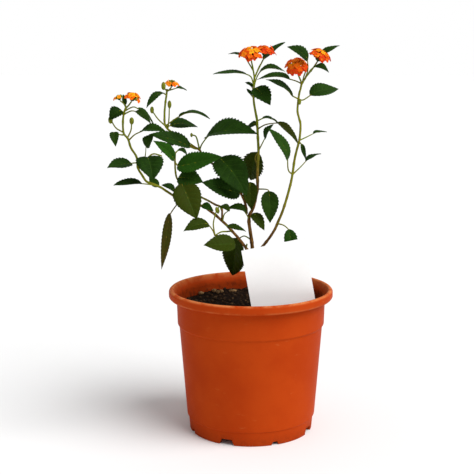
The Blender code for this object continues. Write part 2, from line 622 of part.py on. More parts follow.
def flower_head(name, spec, seed, collection, pieces):
    """A dome of florets round a small core, seated just above its stalk's end."""
    seat, heading, width, count = spec
    rng = random.Random(seed)
    axis = Vector(heading).normalized()
    radius = width * MM / 2
    start = view_point(seat) + axis * CLEAR * 2
    core_radius = radius * CORE_SHARE
    bm = bmesh.new()
    bmesh.ops.create_uvsphere(bm, u_segments=8, v_segments=5, radius=core_radius)
    bmesh.ops.triangulate(bm, faces=bm.faces)
    centre = start + axis * core_radius
    bmesh.ops.translate(bm, verts=bm.verts, vec=centre)
    mesh = bpy.data.meshes.new(name)
    bm.to_mesh(mesh)
    bm.free()
    head = new_object(name, mesh, collection)
    side = axis.orthogonal().normalized()
    for i in range(count):
        share = (i + 0.5) / count
        polar = OUTER_LEAN * math.sqrt(share)
        around = i * math.pi * (3 - math.sqrt(5))
        out = side * math.cos(around) + axis.cross(side) * math.sin(around)
        way = axis * math.cos(polar) + out * math.sin(polar)
        reach = radius * rng.uniform(0.82, 0.96) - core_radius * 0.4
        limb = min(LIMB_RADIUS, radius * 0.42) * rng.uniform(0.9, 1.05)
        floret(i, centre + way * core_radius * 0.3, way, reach, limb, pieces)
    join(head, pieces)
    head.data.materials.append(new_material("petals"))
    return head


def main():
    for made in list(bpy.data.objects):
        bpy.data.objects.remove(made, do_unlink=True)
    plant = new_collection("potted_lantana")
    cutters = new_collection("cutters", shown=False)
    pieces = new_collection("pieces", shown=False)
    make_pot(plant, cutters)
    make_soil(plant, cutters)
    card = card_solid("plant_label", 0.0, plant)
    card.data.materials.append(new_material("card"))
    leafy_stem("leafy_stem_centre", ["base", "centre"], plant, pieces)
    leafy_stem("leafy_stem_left", ["left", "shoot"], plant, pieces)
    leafy_stem("leafy_stem_inner", ["inner"], plant, pieces)
    leafy_stem("leafy_stem_right", ["right"], plant, pieces)
    for seed, (name, spec) in enumerate(HEADS.items()):
        flower_head(name, spec, seed, plant, pieces)


main()
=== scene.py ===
"""Looks of a potted lantana: finer leaves, stems, florets, pot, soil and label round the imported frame.

Metres, +Z up. The origin is the centre of the pot's underside, and -Y is the front.
Plant points are (across, down, depth): two coordinates of the reference view and the depth in
millimetres behind the pot's axis.
"""
import json
import math

import bmesh
import bpy
import numpy as np
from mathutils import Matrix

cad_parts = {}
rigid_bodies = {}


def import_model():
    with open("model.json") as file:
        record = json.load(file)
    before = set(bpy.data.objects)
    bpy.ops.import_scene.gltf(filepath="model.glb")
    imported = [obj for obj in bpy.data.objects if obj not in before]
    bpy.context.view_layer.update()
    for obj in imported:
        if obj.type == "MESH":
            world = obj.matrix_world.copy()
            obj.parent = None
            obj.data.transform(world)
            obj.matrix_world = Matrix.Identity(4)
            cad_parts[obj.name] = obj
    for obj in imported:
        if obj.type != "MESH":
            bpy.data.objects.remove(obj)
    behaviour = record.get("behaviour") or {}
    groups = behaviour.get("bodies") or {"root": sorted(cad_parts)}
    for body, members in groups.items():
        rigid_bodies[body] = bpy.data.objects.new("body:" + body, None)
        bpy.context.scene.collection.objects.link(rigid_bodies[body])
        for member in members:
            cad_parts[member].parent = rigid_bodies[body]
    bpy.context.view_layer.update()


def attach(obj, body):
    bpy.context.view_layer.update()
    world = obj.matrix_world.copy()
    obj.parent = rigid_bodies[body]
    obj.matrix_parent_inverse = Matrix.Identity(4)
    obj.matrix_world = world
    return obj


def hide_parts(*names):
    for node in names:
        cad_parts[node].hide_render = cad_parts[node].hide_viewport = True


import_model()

bl_info = {
    "name": "Potted lantana",
    "version": (1, 0, 0),
    "blender": (4, 5, 0),
    "location": "3D View > Sidebar > Lantana",
    "description": "Builds a lantana in its pot, with soil and a blank label",
    "category": "Add Mesh",
}

MM = 0.001
BODY = "root"

# The reference view, which looks slightly down on the pot's axis
VIEW_DISTANCE = 1.012
VIEW_HEIGHT = 0.378
VIEW_PITCH = math.radians(9.86)
VIEW_FOCAL = 997.0
VIEW_SIDE = 474.0
VIEW_CENTRE = 237.0
VIEW_AXIS_ACROSS = 250.79
SENSOR = 36.0
TOWARDS_VIEW = np.array([0.0, -math.cos(VIEW_PITCH), math.sin(VIEW_PITCH)])
VIEW_UP = np.array([0.0, math.sin(VIEW_PITCH), math.cos(VIEW_PITCH)])

# Stems: radius in mm at the foot and at the top, how far up the bark is brown, and the points
STEMS = {
    "base": (3.3, 2.6, 1.5, [
        (258, 306, 2), (258, 300, 2), (257, 290, 1), (256, 280, 0), (255.5, 272, 0), (254.5, 265, 0)]),
    "left": (1.5, 1.0, 0.45, [
        (250.5, 257, -1), (248, 251, -2), (240, 240, -3), (232, 231, -4), (226, 224.5, -5), (221, 220, -6),
        (215.5, 215, -7), (210, 211, -8), (203, 206.5, -10), (187, 201, -14), (174.5, 196, -17),
        (167, 191.5, -19), (160, 187, -20), (151, 183.5, -22), (146, 181, -23), (142, 175, -24),
        (138, 168, -25), (136.5, 157, -26), (131, 148, -27), (128, 139, -27), (124, 134, -27),
        (123, 128, -27), (123, 120, -27), (124, 113, -27), (126, 107, -27)]),
    "shoot": (1.1, 0.9, 0.3, [
        (222, 221, -6), (221.5, 208, -5), (215, 204.5, -5), (208, 200.5, -5), (201, 197, -5),
        (187, 188, -5), (178, 180, -4), (175.5, 172, -3), (175, 160, -2), (175.3, 152, -2)]),
    "centre": (2.0, 1.0, 0.55, [
        (254.5, 266, 0), (253.5, 260, 1), (252.5, 249, 2), (251.5, 240, 3), (250, 230, 4), (249, 222, 5),
        (249.5, 215, 6), (252, 210.5, 7), (254, 205, 8), (256, 196, 9), (257.5, 188, 10), (257.5, 170, 11),
        (258, 160, 12), (258.5, 150, 12), (258, 140, 13), (257.5, 129, 13), (257, 120, 14),
        (255.5, 112, 14), (254, 103, 14), (253.5, 95, 14), (254, 87, 14), (254.5, 76, 14)]),
    "inner": (1.4, 1.0, 0.6, [
        (246.6, 214, 8), (246, 207, 9), (244, 200, 10), (240, 192, 12), (236, 187.5, 14), (231, 181.5, 16),
        (225, 174.5, 18), (220, 170, 19), (215, 166, 20), (210, 161.5, 21), (203, 156, 23),
        (199.5, 150, 24), (195, 147.5, 25), (190, 145.5, 25), (186, 144, 26), (177, 136, 27),
        (166, 127, 28), (164.5, 115, 28), (165.5, 102, 28), (166.5, 95, 28), (167, 89, 28)]),
    "right": (1.5, 1.0, 0.3, [
        (256.2, 262, -1.5), (259.2, 256, -4), (261.5, 248, -5), (265, 243.5, -6), (270, 237, -8),
        (275, 229, -9), (278, 222, -10), (281.5, 214, -11), (284, 207, -12), (286.5, 199, -12),
        (289, 190, -13), (291, 182, -13), (292.5, 174, -14), (294.5, 160, -14), (296.5, 151, -14),
        (299.5, 139, -14), (300.5, 125, -14), (299, 118, -14), (297.5, 110, -14), (299, 95, -14),
        (300.5, 89, -14), (302, 82, -14)]),
}

# Small stalks: radius in mm and points
STALKS = {
    "left": [
        (0.7, [(126, 108, -27), (124, 104, -28), (120, 100.5, -29)]),
        (0.8, [(126, 108, -27), (128.5, 105.5, -26), (131.5, 101.5, -25)]),
        (0.7, [(127.5, 138, -27), (131, 130, -24), (131.5, 123, -23)]),
        (0.7, [(122.5, 132, -27), (116, 128, -30), (112, 122, -32)]),
        (0.8, [(140, 169, -25), (146, 160, -24), (153, 154, -22), (162, 156, -21)]),
        (0.9, [(246, 248, -2), (247, 244, -4)]),
        (0.7, [(221.5, 210, -5), (219.5, 206, -8), (218, 209, -9)]),
        (0.8, [(232, 231, -4), (227, 231.5, -11), (221, 232, -18), (215, 235.5, -24)]),
        (0.7, [(215, 235.5, -24), (213.8, 229, -23), (213.5, 222, -21), (216.6, 210, -19)]),
    ],
    "inner": [
        (0.8, [(199.5, 150, 24), (198, 143, 22), (197, 139, 21), (195.5, 136, 21), (192.5, 135, 21)]),
        (0.7, [(166, 126.5, 28), (158, 119, 26), (153, 112, 25)]),
        (0.7, [(168, 128, 28), (169, 118, 31), (169.3, 107, 32)]),
        (0.8, [(167, 91.5, 28), (169.5, 89.5, 28), (171.5, 87, 28)]),
        (0.7, [(167, 91, 28), (165, 89, 24), (163.6, 87, 20.5)]),
    ],
    "centre": [
        (0.8, [(254.5, 78, 14), (253.2, 70, 12), (251.2, 60, 10)]),
        (0.8, [(254.5, 78, 14), (257.5, 71, 17), (264.5, 57, 26)]),
    ],
    "right": [
        (0.8, [(302, 84, -14), (300, 79, -14), (297, 72, -15)]),
        (0.8, [(302, 84, -14), (306, 77, -12), (312, 69.5, -10), (317.5, 61.5, -8)]),
        (0.7, [(302, 84, -14), (304, 76, -11), (305.8, 71, -9)]),
    ],
}

# Leaves: petiole points, tip, blade width in mm, the turn of its face towards the view in degrees,
# the midrib's arch in mm, and its age from young (below 0) through fresh (0) to withered (1)
LEAVES = {
    "left": [
        ([(124, 113, -27), (122, 110.5, -30)], (109, 119.5, -36), 15, 60, 2, 0.15),
        ([(124.5, 111, -27), (133, 107, -22), (137, 108.5, -19)], (155, 126, -8), 13, 28, 3, 0.1),
        ([(124.5, 114, -27), (131, 111, -31), (135, 111.5, -34)], (151, 123, -44), 11, 28, 3, 0.2),
        ([(126, 108.5, -27), (125.5, 105, -24)], (123, 94, -22), 5, 70, 1, 0.2),
        ([(123, 135, -27), (119, 134.5, -31), (114, 132, -34)], (115.5, 146, -44), 9.5, 50, 3, 0.2),
        ([(129, 140, -27), (135, 134.5, -31), (141, 132, -35)], (166, 131, -50), 16, 38, 3, 0.1),
        ([(138, 166, -25), (143.5, 161, -31), (145.5, 154, -34), (146, 147, -35)],
         (153, 134.5, -40), 13, 55, 2, 0.2),
        ([(138, 166, -25), (136, 163, -29), (131.5, 163.5, -33)], (107, 167.5, -50), 19, 42, 1, 0.05),
        ([(138, 166, -25), (141, 159.5, -29), (147, 157, -31)], (153, 180, -58), 28, 30, 3, 0.1),
        ([(157, 185.8, -20.6), (150, 184.5, -26), (142, 183.5, -31)], (113.5, 185, -48), 16, 32, 0.5, 0.15),
        ([(160, 187, -20), (158, 187, -15)], (149, 177, -8), 9, 55, 1, 0.2),
        ([(175.3, 162, -2), (174.5, 160, -6)], (153.5, 140.5, -24), 14, 62, 2, -0.3),
        ([(175.3, 163, -2), (177, 167, -6)], (222, 156.5, -26), 25, 60, 1, -0.25),
        ([(175.3, 153, -2), (177, 150.5, 1)], (189, 158, 8), 8, 40, 3, 0.1),
        ([(182, 183.5, -4.5), (178, 178, -8)], (203, 182, -20), 22, 62, 2, 0.0),
        ([(187, 188, -5), (184, 188, -12), (181.5, 183, -18)], (197, 219, -34), 29, 68, 2, 0.55),
        ([(174.5, 196, -17), (174.5, 191, -20)], (162, 184.5, -26), 9, 55, 2, 0.1),
        ([(182, 199, -15.3), (175, 207, -22), (169.5, 213, -25)], (161.5, 270, -34), 10, 72, -2, 0.85),
        ([(203, 206.5, -10), (201.5, 205, -14)], (213.5, 210.5, -18), 9, 55, 2, -0.2),
        ([(215, 235.5, -24), (212.5, 230, -26), (209, 224.5, -28)], (183.5, 230.5, -42), 17, 48, 3, 0.4),
        ([(222.5, 221, -6), (224.5, 214, -10), (230, 210.5, -13)], (219.5, 206, -16), 9, 50, 2, 0.3),
        ([(215, 235.5, -24), (225, 236.5, -30), (235.5, 244, -34)], (203.5, 245, -46), 21, 60, 1, 0.5),
        ([(226, 224.5, -5), (226.5, 226.5, -10)], (246, 231, -18), 9, 35, 2, 0.3),
    ],
    "inner": [
        ([(166.5, 95, 28), (164, 93, 24)], (146, 107, 12), 12, 28, 4, 0.1),
        ([(167, 91, 28), (176, 88, 32)], (187, 90, 36), 7, 30, 1, 0.1),
        ([(165.5, 126, 28), (175, 119, 23), (179, 117, 21)], (210, 117, 8), 17, 14, 5, 0.2),
        ([(166, 127, 28), (170, 126, 31)], (198, 126, 44), 20, 40, 3, 0.1),
        ([(197, 148.8, 24.5), (194, 148.5, 23), (190.5, 147, 21)], (149, 134, 6), 20, 52, 2, 0.0),
        ([(199.5, 150, 24), (202, 144, 24), (205.5, 138.5, 23)], (257.5, 132.5, -7), 33, 42, 6, -0.05),
        ([(199.5, 150, 24), (188, 142, 34), (184, 139, 38)], (160, 152, 54), 22, 40, 4, 0.1),
        ([(210, 161.5, 21), (219, 158, 14)], (247, 195, -16), 33, 60, 4, 0.15),
        ([(240, 192, 12), (240, 194, 8)], (202, 182, -9), 24, 66, 2, 0.05),
    ],
    "centre": [
        ([(254, 86, 14), (251, 77, 12), (246.5, 74, 10)], (213, 73.5, -4), 16, 22, 1.5, 0.1),
        ([(254, 86, 14), (257, 77, 18), (259, 73, 20)], (285, 70, 16), 16, 22, 4, 0.1),
        ([(253, 70, 12), (246, 58, 14)], (228.5, 53, 18), 8, 25, 2, 0.1),
        ([(256, 74.5, 16), (259, 67, 27), (263, 60, 35)], (285, 41.5, 46), 10, 35, 2, 0.1),
        ([(253.8, 94, 14), (255, 88, 9)], (270.5, 104.5, -6), 20, 55, 2, 0.0),
        ([(253.8, 91, 14), (252.5, 87.5, 18)], (245, 82, 22), 6, 35, 1, 0.1),
        ([(257.5, 129, 13), (256.5, 124, 16)], (244, 132, 28), 14, 45, 2, 0.2),
        ([(257.5, 129, 13), (266, 124.5, 8), (276, 122.5, 5)], (299, 143.5, -2), 12, 30, 3, 0.6),
        ([(257, 121, 14), (262, 118.5, 18)], (280, 124, 30), 9, 25, 3, 0.1),
        ([(258.3, 151, 12), (262, 144, 9), (265, 139, 7)], (272.5, 124, 1), 15, 35, 2, 0.1),
        ([(257.5, 166, 11), (255, 158, 19), (258, 152, 24)], (250, 181, 40), 25, 58, 4, 0.5),
        ([(256, 197, 9), (252, 190, 10), (250, 182, 9)], (251.5, 210, 0), 16, 60, 3, 0.4),
        ([(257.5, 189, 10), (267, 189.5, 3), (269, 191, 1)], (270, 223, -11), 19, 66, 3, 0.2),
        ([(249.2, 219, 5.5), (246.5, 214.5, 1)], (226, 208, -2), 12, 40, 5, 0.2),
        ([(249.3, 218, 6), (253, 213, 1)], (264.5, 230, -12), 12, 50, 2, 0.4),
        ([(253.7, 98, 14), (251.5, 95.5, 17)], (246.5, 88.5, 20), 5, 35, 1, 0.1),
        ([(251.5, 240, 3), (244, 236, 14), (238, 238, 26)], (232, 276, 48), 31, 46, 3, 0.42),
    ],
    "right": [
        ([(302, 84, -14), (296, 81, -9), (290, 79.5, -6)], (257, 78.5, 0), 18, 26, 3, 0.1),
        ([(298.5, 99, -14), (293, 97, -19)], (266.5, 78.5, -30), 18, 34, 3, 0.05),
        ([(298.5, 99, -14), (303, 100, -10), (310, 95.5, -6)], (339, 88, 10), 21, 46, 3, 0.05),
        ([(305, 79, -12), (307.8, 70, -17.5), (307.8, 60.5, -22)], (288, 46, -30), 14, 58, 3, 0.1),
        ([(311, 71, -10), (317, 62, 4), (321, 56, 8)], (339.5, 45, 12), 9, 40, 2, 0.1),
        ([(308, 74.5, -11), (311, 69.5, -16), (314, 67, -18)], (329, 71.5, -26), 11, 36, 2, 0.1),
        ([(299.3, 140.5, -14), (306, 137.3, -10), (313, 133.5, -7)], (327, 131.5, -2), 8, 20, 1, 0.1),
        ([(299, 141.5, -14), (301.3, 143.5, -16)], (306, 160, -22), 5, 40, 1, 0.1),
        ([(292.5, 174.5, -14), (300, 167.5, -8), (305.5, 161.5, -5)], (321, 153, 6), 8, 20, 2, 0.1),
        ([(292.5, 174.5, -14), (288.3, 170, -18), (287.5, 160, -21)], (269, 127.5, -34), 17, 44, 5, -0.1),
        ([(277.5, 223.5, -10), (284, 225.5, -13), (289, 229, -15)], (292.5, 257, -22), 14, 62, 2, -0.2),
    ],
}

# Flower heads: seat, facing, width in mm, florets, how far they have turned from yellow to red, and
# the share that is still closed
HEADS = {
    "centre_front": ((251.2, 60, 10), (-0.1, -0.45, 0.9), 25, 32, 0.75, 0.05),
    "centre_back": ((264.5, 57, 26), (0.2, -0.15, 0.95), 21, 22, 1.05, 0.0),
    "right_front": ((297, 70.8, -15), (-0.2, -0.68, 0.72), 23, 30, 0.9, 0.0),
    "right_side": ((317.5, 61.5, -8), (0.35, -0.3, 0.9), 23, 28, 0.9, 0.05),
    "left_small": ((120, 100.5, -29), (-0.3, -0.2, 0.9), 11, 16, 0.25, 0.7),
    "left": ((131.5, 101.5, -25), (0.3, -0.2, 0.9), 16, 18, 0.35, 0.35),
    "inner": ((171.5, 87, 28), (0.1, -0.3, 0.9), 14, 16, 0.3, 0.5),
}

# Green buds: centre, length and width in mm
BUDS = {
    "left": [((131.7, 121, -23), 6.5, 5), ((110.5, 120, -32), 6.5, 5), ((218, 211, -9), 5, 3.5),
             ((216.7, 209.5, -19), 5, 3.5)],
    "inner": [((152, 110, 25), 6.5, 4.5), ((169.5, 104.5, 32), 7.5, 4.5), ((163.5, 86, 20), 7.5, 5),
              ((191.5, 135, 21), 4, 3)],
    "centre": [],
    "right": [((306, 69.5, -9), 4.5, 3.5), ((299.6, 102, -15.5), 5, 3.5)],
}
STEMS_OF = {"centre": ["base", "centre"], "left": ["left", "shoot"], "inner": ["inner"], "right": ["right"]}


# Shared mesh code

SHARP_ANGLE = math.radians(35)
MERGE_DISTANCE = 0.002 * MM
POLE_GAP = 0.001


class Surface:
    """A growing mesh: rings of points, their faces and material numbers, and one value a point
    for each attribute."""

    def __init__(self, *attributes):
        self.points = []
        self.quads = []
        self.slots = []
        self.values = {name: [] for name in attributes}
        self.count = 0

    def add(self, grid, slot=0, turned=False, caps=(), **values):
        """Takes rows of points, each row a closed ring, more faces as caps, and values that broadcast."""
        rows, columns = grid.shape[:2]
        quads = ring_quads(rows, columns)
        quads = np.concatenate([quads[:, ::-1] if turned else quads, *caps])
        self.points.append(grid.reshape(-1, 3))
        self.quads.append(quads + self.count)
        self.slots.append(np.full(len(quads), slot))
        for name, held in self.values.items():
            held.append(np.broadcast_to(values.get(name, 0.0), (rows, columns)).ravel())
        self.count += rows * columns

    def add_sheet(self, front, back, **values):
        """A thin sheet: its two faces, joined along all four edges."""
        rows, columns = front.shape[:2]
        cap = np.arange(columns - 1)
        first = np.stack([cap, 2 * columns - 1 - cap, 2 * columns - 2 - cap, cap + 1], axis=-1)
        last = first[:, ::-1] + (rows - 1) * 2 * columns
        self.add(np.concatenate([front, back[:, ::-1]], axis=1), turned=True, caps=(first, last), **values)

    def add_rod(self, path, radii, sides, **values):
        """A round rod: each ring is centre + radius (side cos a + other sin a), and both ends close
        on a point."""
        tangent = unit(np.gradient(path, axis=0))
        steadiest = np.argmin(np.abs(tangent).max(axis=0))
        side = unit(np.cross(tangent, np.eye(3)[steadiest]))
        other = np.cross(side, tangent)
        rings = path[:, None] + ring(side[:, None], other[:, None], round_steps(sides)) * radii[:, None, None]
        ends = [np.repeat(path[k:][:1, None], sides, 1) for k in (0, -1)]
        self.add(np.concatenate([ends[0], rings, ends[1]]), slot=1, turned=True, along=0.5, **values)

    def finished(self, name, materials, merged=True):
        """The smooth mesh object at the origin, its poles and seams merged where asked."""
        mesh = bpy.data.meshes.new(name)
        mesh.from_pydata(np.concatenate(self.points).tolist(), [], np.concatenate(self.quads).tolist())
        mesh.polygons.foreach_set("material_index", np.concatenate(self.slots).astype(np.int32))
        for key, held in self.values.items():
            layer = mesh.attributes.new(key, "FLOAT", "POINT")
            layer.data.foreach_set("value", np.concatenate(held).astype(np.float32))
        mesh.shade_smooth()
        for material in materials:
            mesh.materials.append(material)
        made = bpy.data.objects.new(name, mesh)
        bpy.context.scene.collection.objects.link(made)
        if merged:
            merge_poles(mesh)
        return made


def merge_poles(mesh):
    """Merges the points that share a pole or a seam, and turns the faces outwards."""
    bm = bmesh.new()
    bm.from_mesh(mesh)
    bmesh.ops.remove_doubles(bm, verts=bm.verts, dist=MERGE_DISTANCE)
    bmesh.ops.recalc_face_normals(bm, faces=bm.faces)
    bm.to_mesh(mesh)
    bm.free()


def unit(vectors):
    """The vectors over their lengths."""
    return vectors / np.linalg.norm(vectors, axis=-1, keepdims=True)


def beside(axis):
    """Two directions square to the axis and to each other."""
    side = unit(np.cross(axis, np.eye(3)[np.argmin(np.abs(axis))]))
    return side, np.cross(axis, side)


def round_steps(count):
    """Even angles of a full turn."""
    return np.arange(count) * math.tau / count


def ring(side, other, angle):
    """side cos a + other sin a, for each angle a."""
    return np.cos(angle)[..., None] * side + np.sin(angle)[..., None] * other


def ring_quads(rows, columns):
    """Faces between each ring of points and the next."""
    row, column = np.meshgrid(np.arange(rows - 1), np.arange(columns), indexing="ij")
    following = (column + 1) % columns
    corners = [row * columns + column, row * columns + following,
               (row + 1) * columns + following, (row + 1) * columns + column]
    return np.stack(corners, axis=-1).reshape(-1, 4)


def lathed(radius, height, angle):
    """(radius cos a, radius sin a, height), for each angle a."""
    return np.stack(np.broadcast_arrays(radius * np.cos(angle), radius * np.sin(angle), height), axis=-1)


def sphere(rows, columns):
    """The unit sphere (sin p cos a, sin p sin a, -cos p), in rings from pole to pole."""
    polar = np.linspace(POLE_GAP, math.pi - POLE_GAP, rows)[:, None]
    return lathed(np.sin(polar), -np.cos(polar), round_steps(columns))


def turned_about(axis, angle):
    """The turn about a main axis, 0 to 2, by the right-hand rule."""
    a, b = [(1, 2), (2, 0), (0, 1)][axis]
    turn = np.eye(3)
    turn[a, a] = turn[b, b] = math.cos(angle)
    turn[b, a] = math.sin(angle)
    turn[a, b] = -math.sin(angle)
    return turn


def view_point(points):
    """Places of (across, down, depth): each is where the view ray through it meets that depth."""
    across, down, depth = np.moveaxis(np.atleast_2d(np.asarray(points, float)), -1, 0)
    away = VIEW_DISTANCE + depth * MM
    z = VIEW_HEIGHT + away * np.tan(np.arctan((VIEW_CENTRE - down) / VIEW_FOCAL) - VIEW_PITCH)
    forward = away * math.cos(VIEW_PITCH) - (z - VIEW_HEIGHT) * math.sin(VIEW_PITCH)
    return np.stack([(across - VIEW_AXIS_ACROSS) / VIEW_FOCAL * forward, depth * MM, z], axis=-1)


def curve_through(points, count):
    """Catmull-Rom curve: on each span, a cubic whose end slopes are half the neighbours' difference."""
    held = np.vstack([2 * points[0] - points[1], points, 2 * points[-1] - points[-2]])
    steps = np.linalg.norm(np.diff(points, axis=0), axis=1)
    reach = np.concatenate([[0.0], np.cumsum(steps)])
    where = np.interp(np.linspace(0, reach[-1], count), reach, np.arange(len(points)))
    first = np.minimum(where.astype(int), len(points) - 2)
    t = (where - first)[:, None]
    a, b, c, d = (held[first + k] for k in range(4))
    return 0.5 * (2 * b + (c - a) * t + (2 * a - 5 * b + 4 * c - d) * t ** 2
                  + (3 * b - a - 3 * c + d) * t ** 3)


# Foliage

SIDE_VEINS = 7
VEIN_SLANT = 0.2
BLADE_COLUMNS = 15
TOOTH_PITCH = 3.3 * MM
FEWEST_TEETH = 7
MOST_TEETH = 16
# Where along a tooth its points lie; the last is the tooth's own tip
TOOTH_SHARES = np.array([0.0, 0.45, 0.82])
WAVE_HEIGHT = 0.35 * MM
GROOVE_DEPTH = 0.25 * MM
GROOVE_WIDTH = 0.9 * MM
# Share of the blade along which the petiole runs on as the midrib
RIB_START = 0.03
RIB_END = 0.93
# Shares along a petiole and midrib, and its radius there over the petiole's
RIB_SHARES = [0, 0.08, 0.3, 1.0]
RIB_TAPER = [1.35, 1.0, 0.85, 0.2]
KNOTS = 9
KNOT_SWELL = 0.16
KNOT_WIDTH = 0.06
BARK_FADE = 0.25


def outline(t, teeth, depth):
    """Half width over the widest: t^0.62 (1 - t)^1.05, with saw teeth that point to the tip."""
    rise, fall, widest = 0.62, 1.05, 0.371
    tip = TOOTH_SHARES[-1]
    saw = (t * teeth) % 1.0
    tooth = np.where(saw < tip, saw / tip, (1 - saw) / (1 - tip)) - 0.45
    fading = np.clip(t * 12, 0, 1) * np.clip((1 - t) * 9, 0, 1)
    peak = widest ** rise * (1 - widest) ** fall
    return t ** rise * (1 - t) ** fall / peak * (1 + depth * tooth * fading)


def leaf_blade(surface, base, tip, width, facing, arch, age, seed, settings):
    """A folded, quilted, toothed leaf.

    Point(t, s) = base + axis t + side s half(t) cos fold + normal (bow(t) + |s| half(t) sin fold +
    pillows between the side veins + a wave along the edge - a groove over the midrib). Two such
    sheets close at the edge.
    """
    rng = np.random.default_rng(seed)
    length = np.linalg.norm(tip - base)
    axis = (tip - base) / length
    turn = math.radians(facing)
    normal = VIEW_UP * math.cos(turn) + TOWARDS_VIEW * math.sin(turn)
    normal = unit(normal - axis * (normal @ axis))
    side = np.cross(axis, normal)
    teeth = int(max(FEWEST_TEETH, min(MOST_TEETH, round(length / TOOTH_PITCH))))
    t = ((np.arange(teeth)[:, None] + TOOTH_SHARES) / teeth).ravel()
    t = np.concatenate([[0.004], t[1:], [0.985, 0.999]])[:, None]
    even = np.linspace(-1, 1, BLADE_COLUMNS)
    s = 0.3 * np.sin(even * math.pi / 2) + 0.7 * even
    half = width / 2 * outline(t, teeth, settings.tooth_depth * rng.uniform(0.7, 1.8))
    out = s * half
    fold = math.radians(settings.fold + rng.uniform(-4, 6))
    bow = arch * (np.sin(math.pi * t ** 0.8) - 0.35 * t * t)
    vein = (t - VEIN_SLANT * np.abs(s)) * SIDE_VEINS
    pillow = np.abs(np.sin(math.pi * vein)) ** 0.7 * (1 - s ** 4) * np.clip(half / (4 * MM), 0, 1)
    wave = np.sin(t * rng.uniform(7, 11) + np.sign(s) * rng.uniform(0, 3)) * s ** 2
    curl = rng.uniform(-0.10, 0.16) * np.abs(out) * s ** 2
    groove = GROOVE_DEPTH * np.exp(-(out / GROOVE_WIDTH) ** 2)
    lift = bow + np.abs(out) * math.sin(fold) + settings.quilting * pillow
    lift += WAVE_HEIGHT * wave - curl - groove
    sway = rng.uniform(-0.04, 0.04) * length * np.sin(math.pi * t) * 0.6
    centre = base + axis * length * t + side * sway
    sheet = centre[:, None] + side * (out * math.cos(fold))[..., None] + normal * lift[..., None]
    thick = normal * (settings.thickness / 2 * (1 - 0.55 * s ** 8))[:, None]
    surface.add_sheet(sheet + thick, sheet - thick, along=t, across=np.concatenate([s, s[::-1]]),
                      under=np.repeat([0.0, 1.0], BLADE_COLUMNS), age=age, tone=rng.uniform(0, 1))
    return centre, lift[:, BLADE_COLUMNS // 2], normal, t[:, 0]


def leaf(surface, spec, seed, settings):
    """The blade, and a petiole that runs on as the midrib under it."""
    stalk_points, tip, width, facing, arch, age = spec
    places = view_point(stalk_points)
    middle, lift, normal, t = leaf_blade(
        surface, places[-1], view_point(tip)[0], width * MM, facing, arch * MM, age, seed, settings)
    rib = middle + normal * (lift - settings.thickness * 0.75)[:, None]
    chosen = rib[(t > RIB_START) & (t < RIB_END)][::4]
    path = curve_through(np.vstack([places[:-1], chosen]), 30)
    share = np.linspace(0, 1, len(path))
    radii = settings.petiole * np.interp(share, RIB_SHARES, RIB_TAPER)
    surface.add_rod(path, radii, 8, wood=0.0 if age < 0.5 else 0.5, tone=seed % 7 / 7)


def bark_radius(share, foot, top, seed):
    """Taper with swollen nodes every so often and small lumps."""
    knots = np.exp(-(((share * KNOTS + seed * 0.37) % 1.0 - 0.5) / KNOT_WIDTH) ** 2)
    lumps = 0.03 * np.sin(share * 140 + seed)
    return (foot + (top - foot) * share) * (1 + KNOT_SWELL * knots + lumps)


def stem(surface, name, seed):
    """A rod of bark_radius along the curve through the stem's points, brown below and green above."""
    foot, top, brown, points = STEMS[name]
    path = curve_through(view_point(points), 14 * len(points))
    share = np.linspace(0, 1, len(path))
    wood = np.pad(np.clip((brown - share) / BARK_FADE + 0.5, 0, 1), 1, mode="edge")[:, None]
    surface.add_rod(path, bark_radius(share, foot * MM, top * MM, seed), 12, wood=wood, tone=seed % 5 / 5)


def stalk(surface, radius, points, seed):
    """A rod that tapers evenly, from 1.1 to 0.9 of its radius."""
    path = curve_through(view_point(points), 20)
    surface.add_rod(path, radius * MM * np.linspace(1.1, 0.9, len(path)), 8, tone=seed % 5 / 5)


def bud(surface, spec, seed):
    """A scaly bud: an egg whose radius rises and falls where two spirals of scales cross."""
    centre, length, width = spec
    rows, columns = 16, 20
    polar = np.linspace(POLE_GAP, math.pi - POLE_GAP, rows)[:, None]
    around = round_steps(columns)
    scales = 1 + 0.13 * np.abs(np.sin(4 * around + 5 * polar)) * np.abs(np.sin(4 * around - 5 * polar))
    egg = lathed(0.42 * width * MM * np.sin(polar) * scales, -0.56 * length * MM * np.cos(polar), around)
    along = np.linspace(0, 1, rows)[:, None]
    surface.add(egg + view_point(centre)[0], slot=2, tone=seed % 3 / 3, along=along)


# Flowers

LOBE_STEPS = 28
CORE_SHARE = 0.34
SEAT_LIFT = 0.4 * MM
BRACTS = 10
BRACT_WIDTH = 2.2 * MM
BRACT_REACH = 0.62
BUD_WIDTH = 1.2 * MM
# The share of closed florets above which they are green
GREEN_FROM = 0.3
# The florets' places: the outermost one's slope, and the least and most of the head's radius
STEEPEST = math.radians(80)
SPREAD = (0.78, 0.96)
# The straight tube's length: a share of the way from the core, and more
TUBE_SHARE = 0.7
TUBE_EXTRA = 1.4 * MM
WIDEST_LIMB = 0.4
GOLDEN_ANGLE = math.pi * (3 - math.sqrt(5))
# Points up a floret's tube, out under its limb, over the edge and back to the throat: radius in mm
# and as a share of the limb, height as a share of the reach and in mm, and how far the lobes show
FLORET_PROFILE = np.array([
    (0, 0, 0, 0, 0), (0.45, 0, 0, 0, 0), (0.5, 0, 0.5, 0, 0), (0.7, 0, 1, -1.3, 0),
    (0, 0.28, 1, -0.45, 0.3), (0, 0.65, 1, -0.1, 1), (0, 0.97, 1, 0.15, 1), (0, 1, 1, 0.3, 1),
    (0, 0.95, 1, 0.42, 1), (0, 0.6, 1, 0.3, 1), (0, 0.3, 1, 0.1, 0.4), (0, 0.14, 1, -0.25, 0),
    (0, 0, 1, -0.6, 0)])


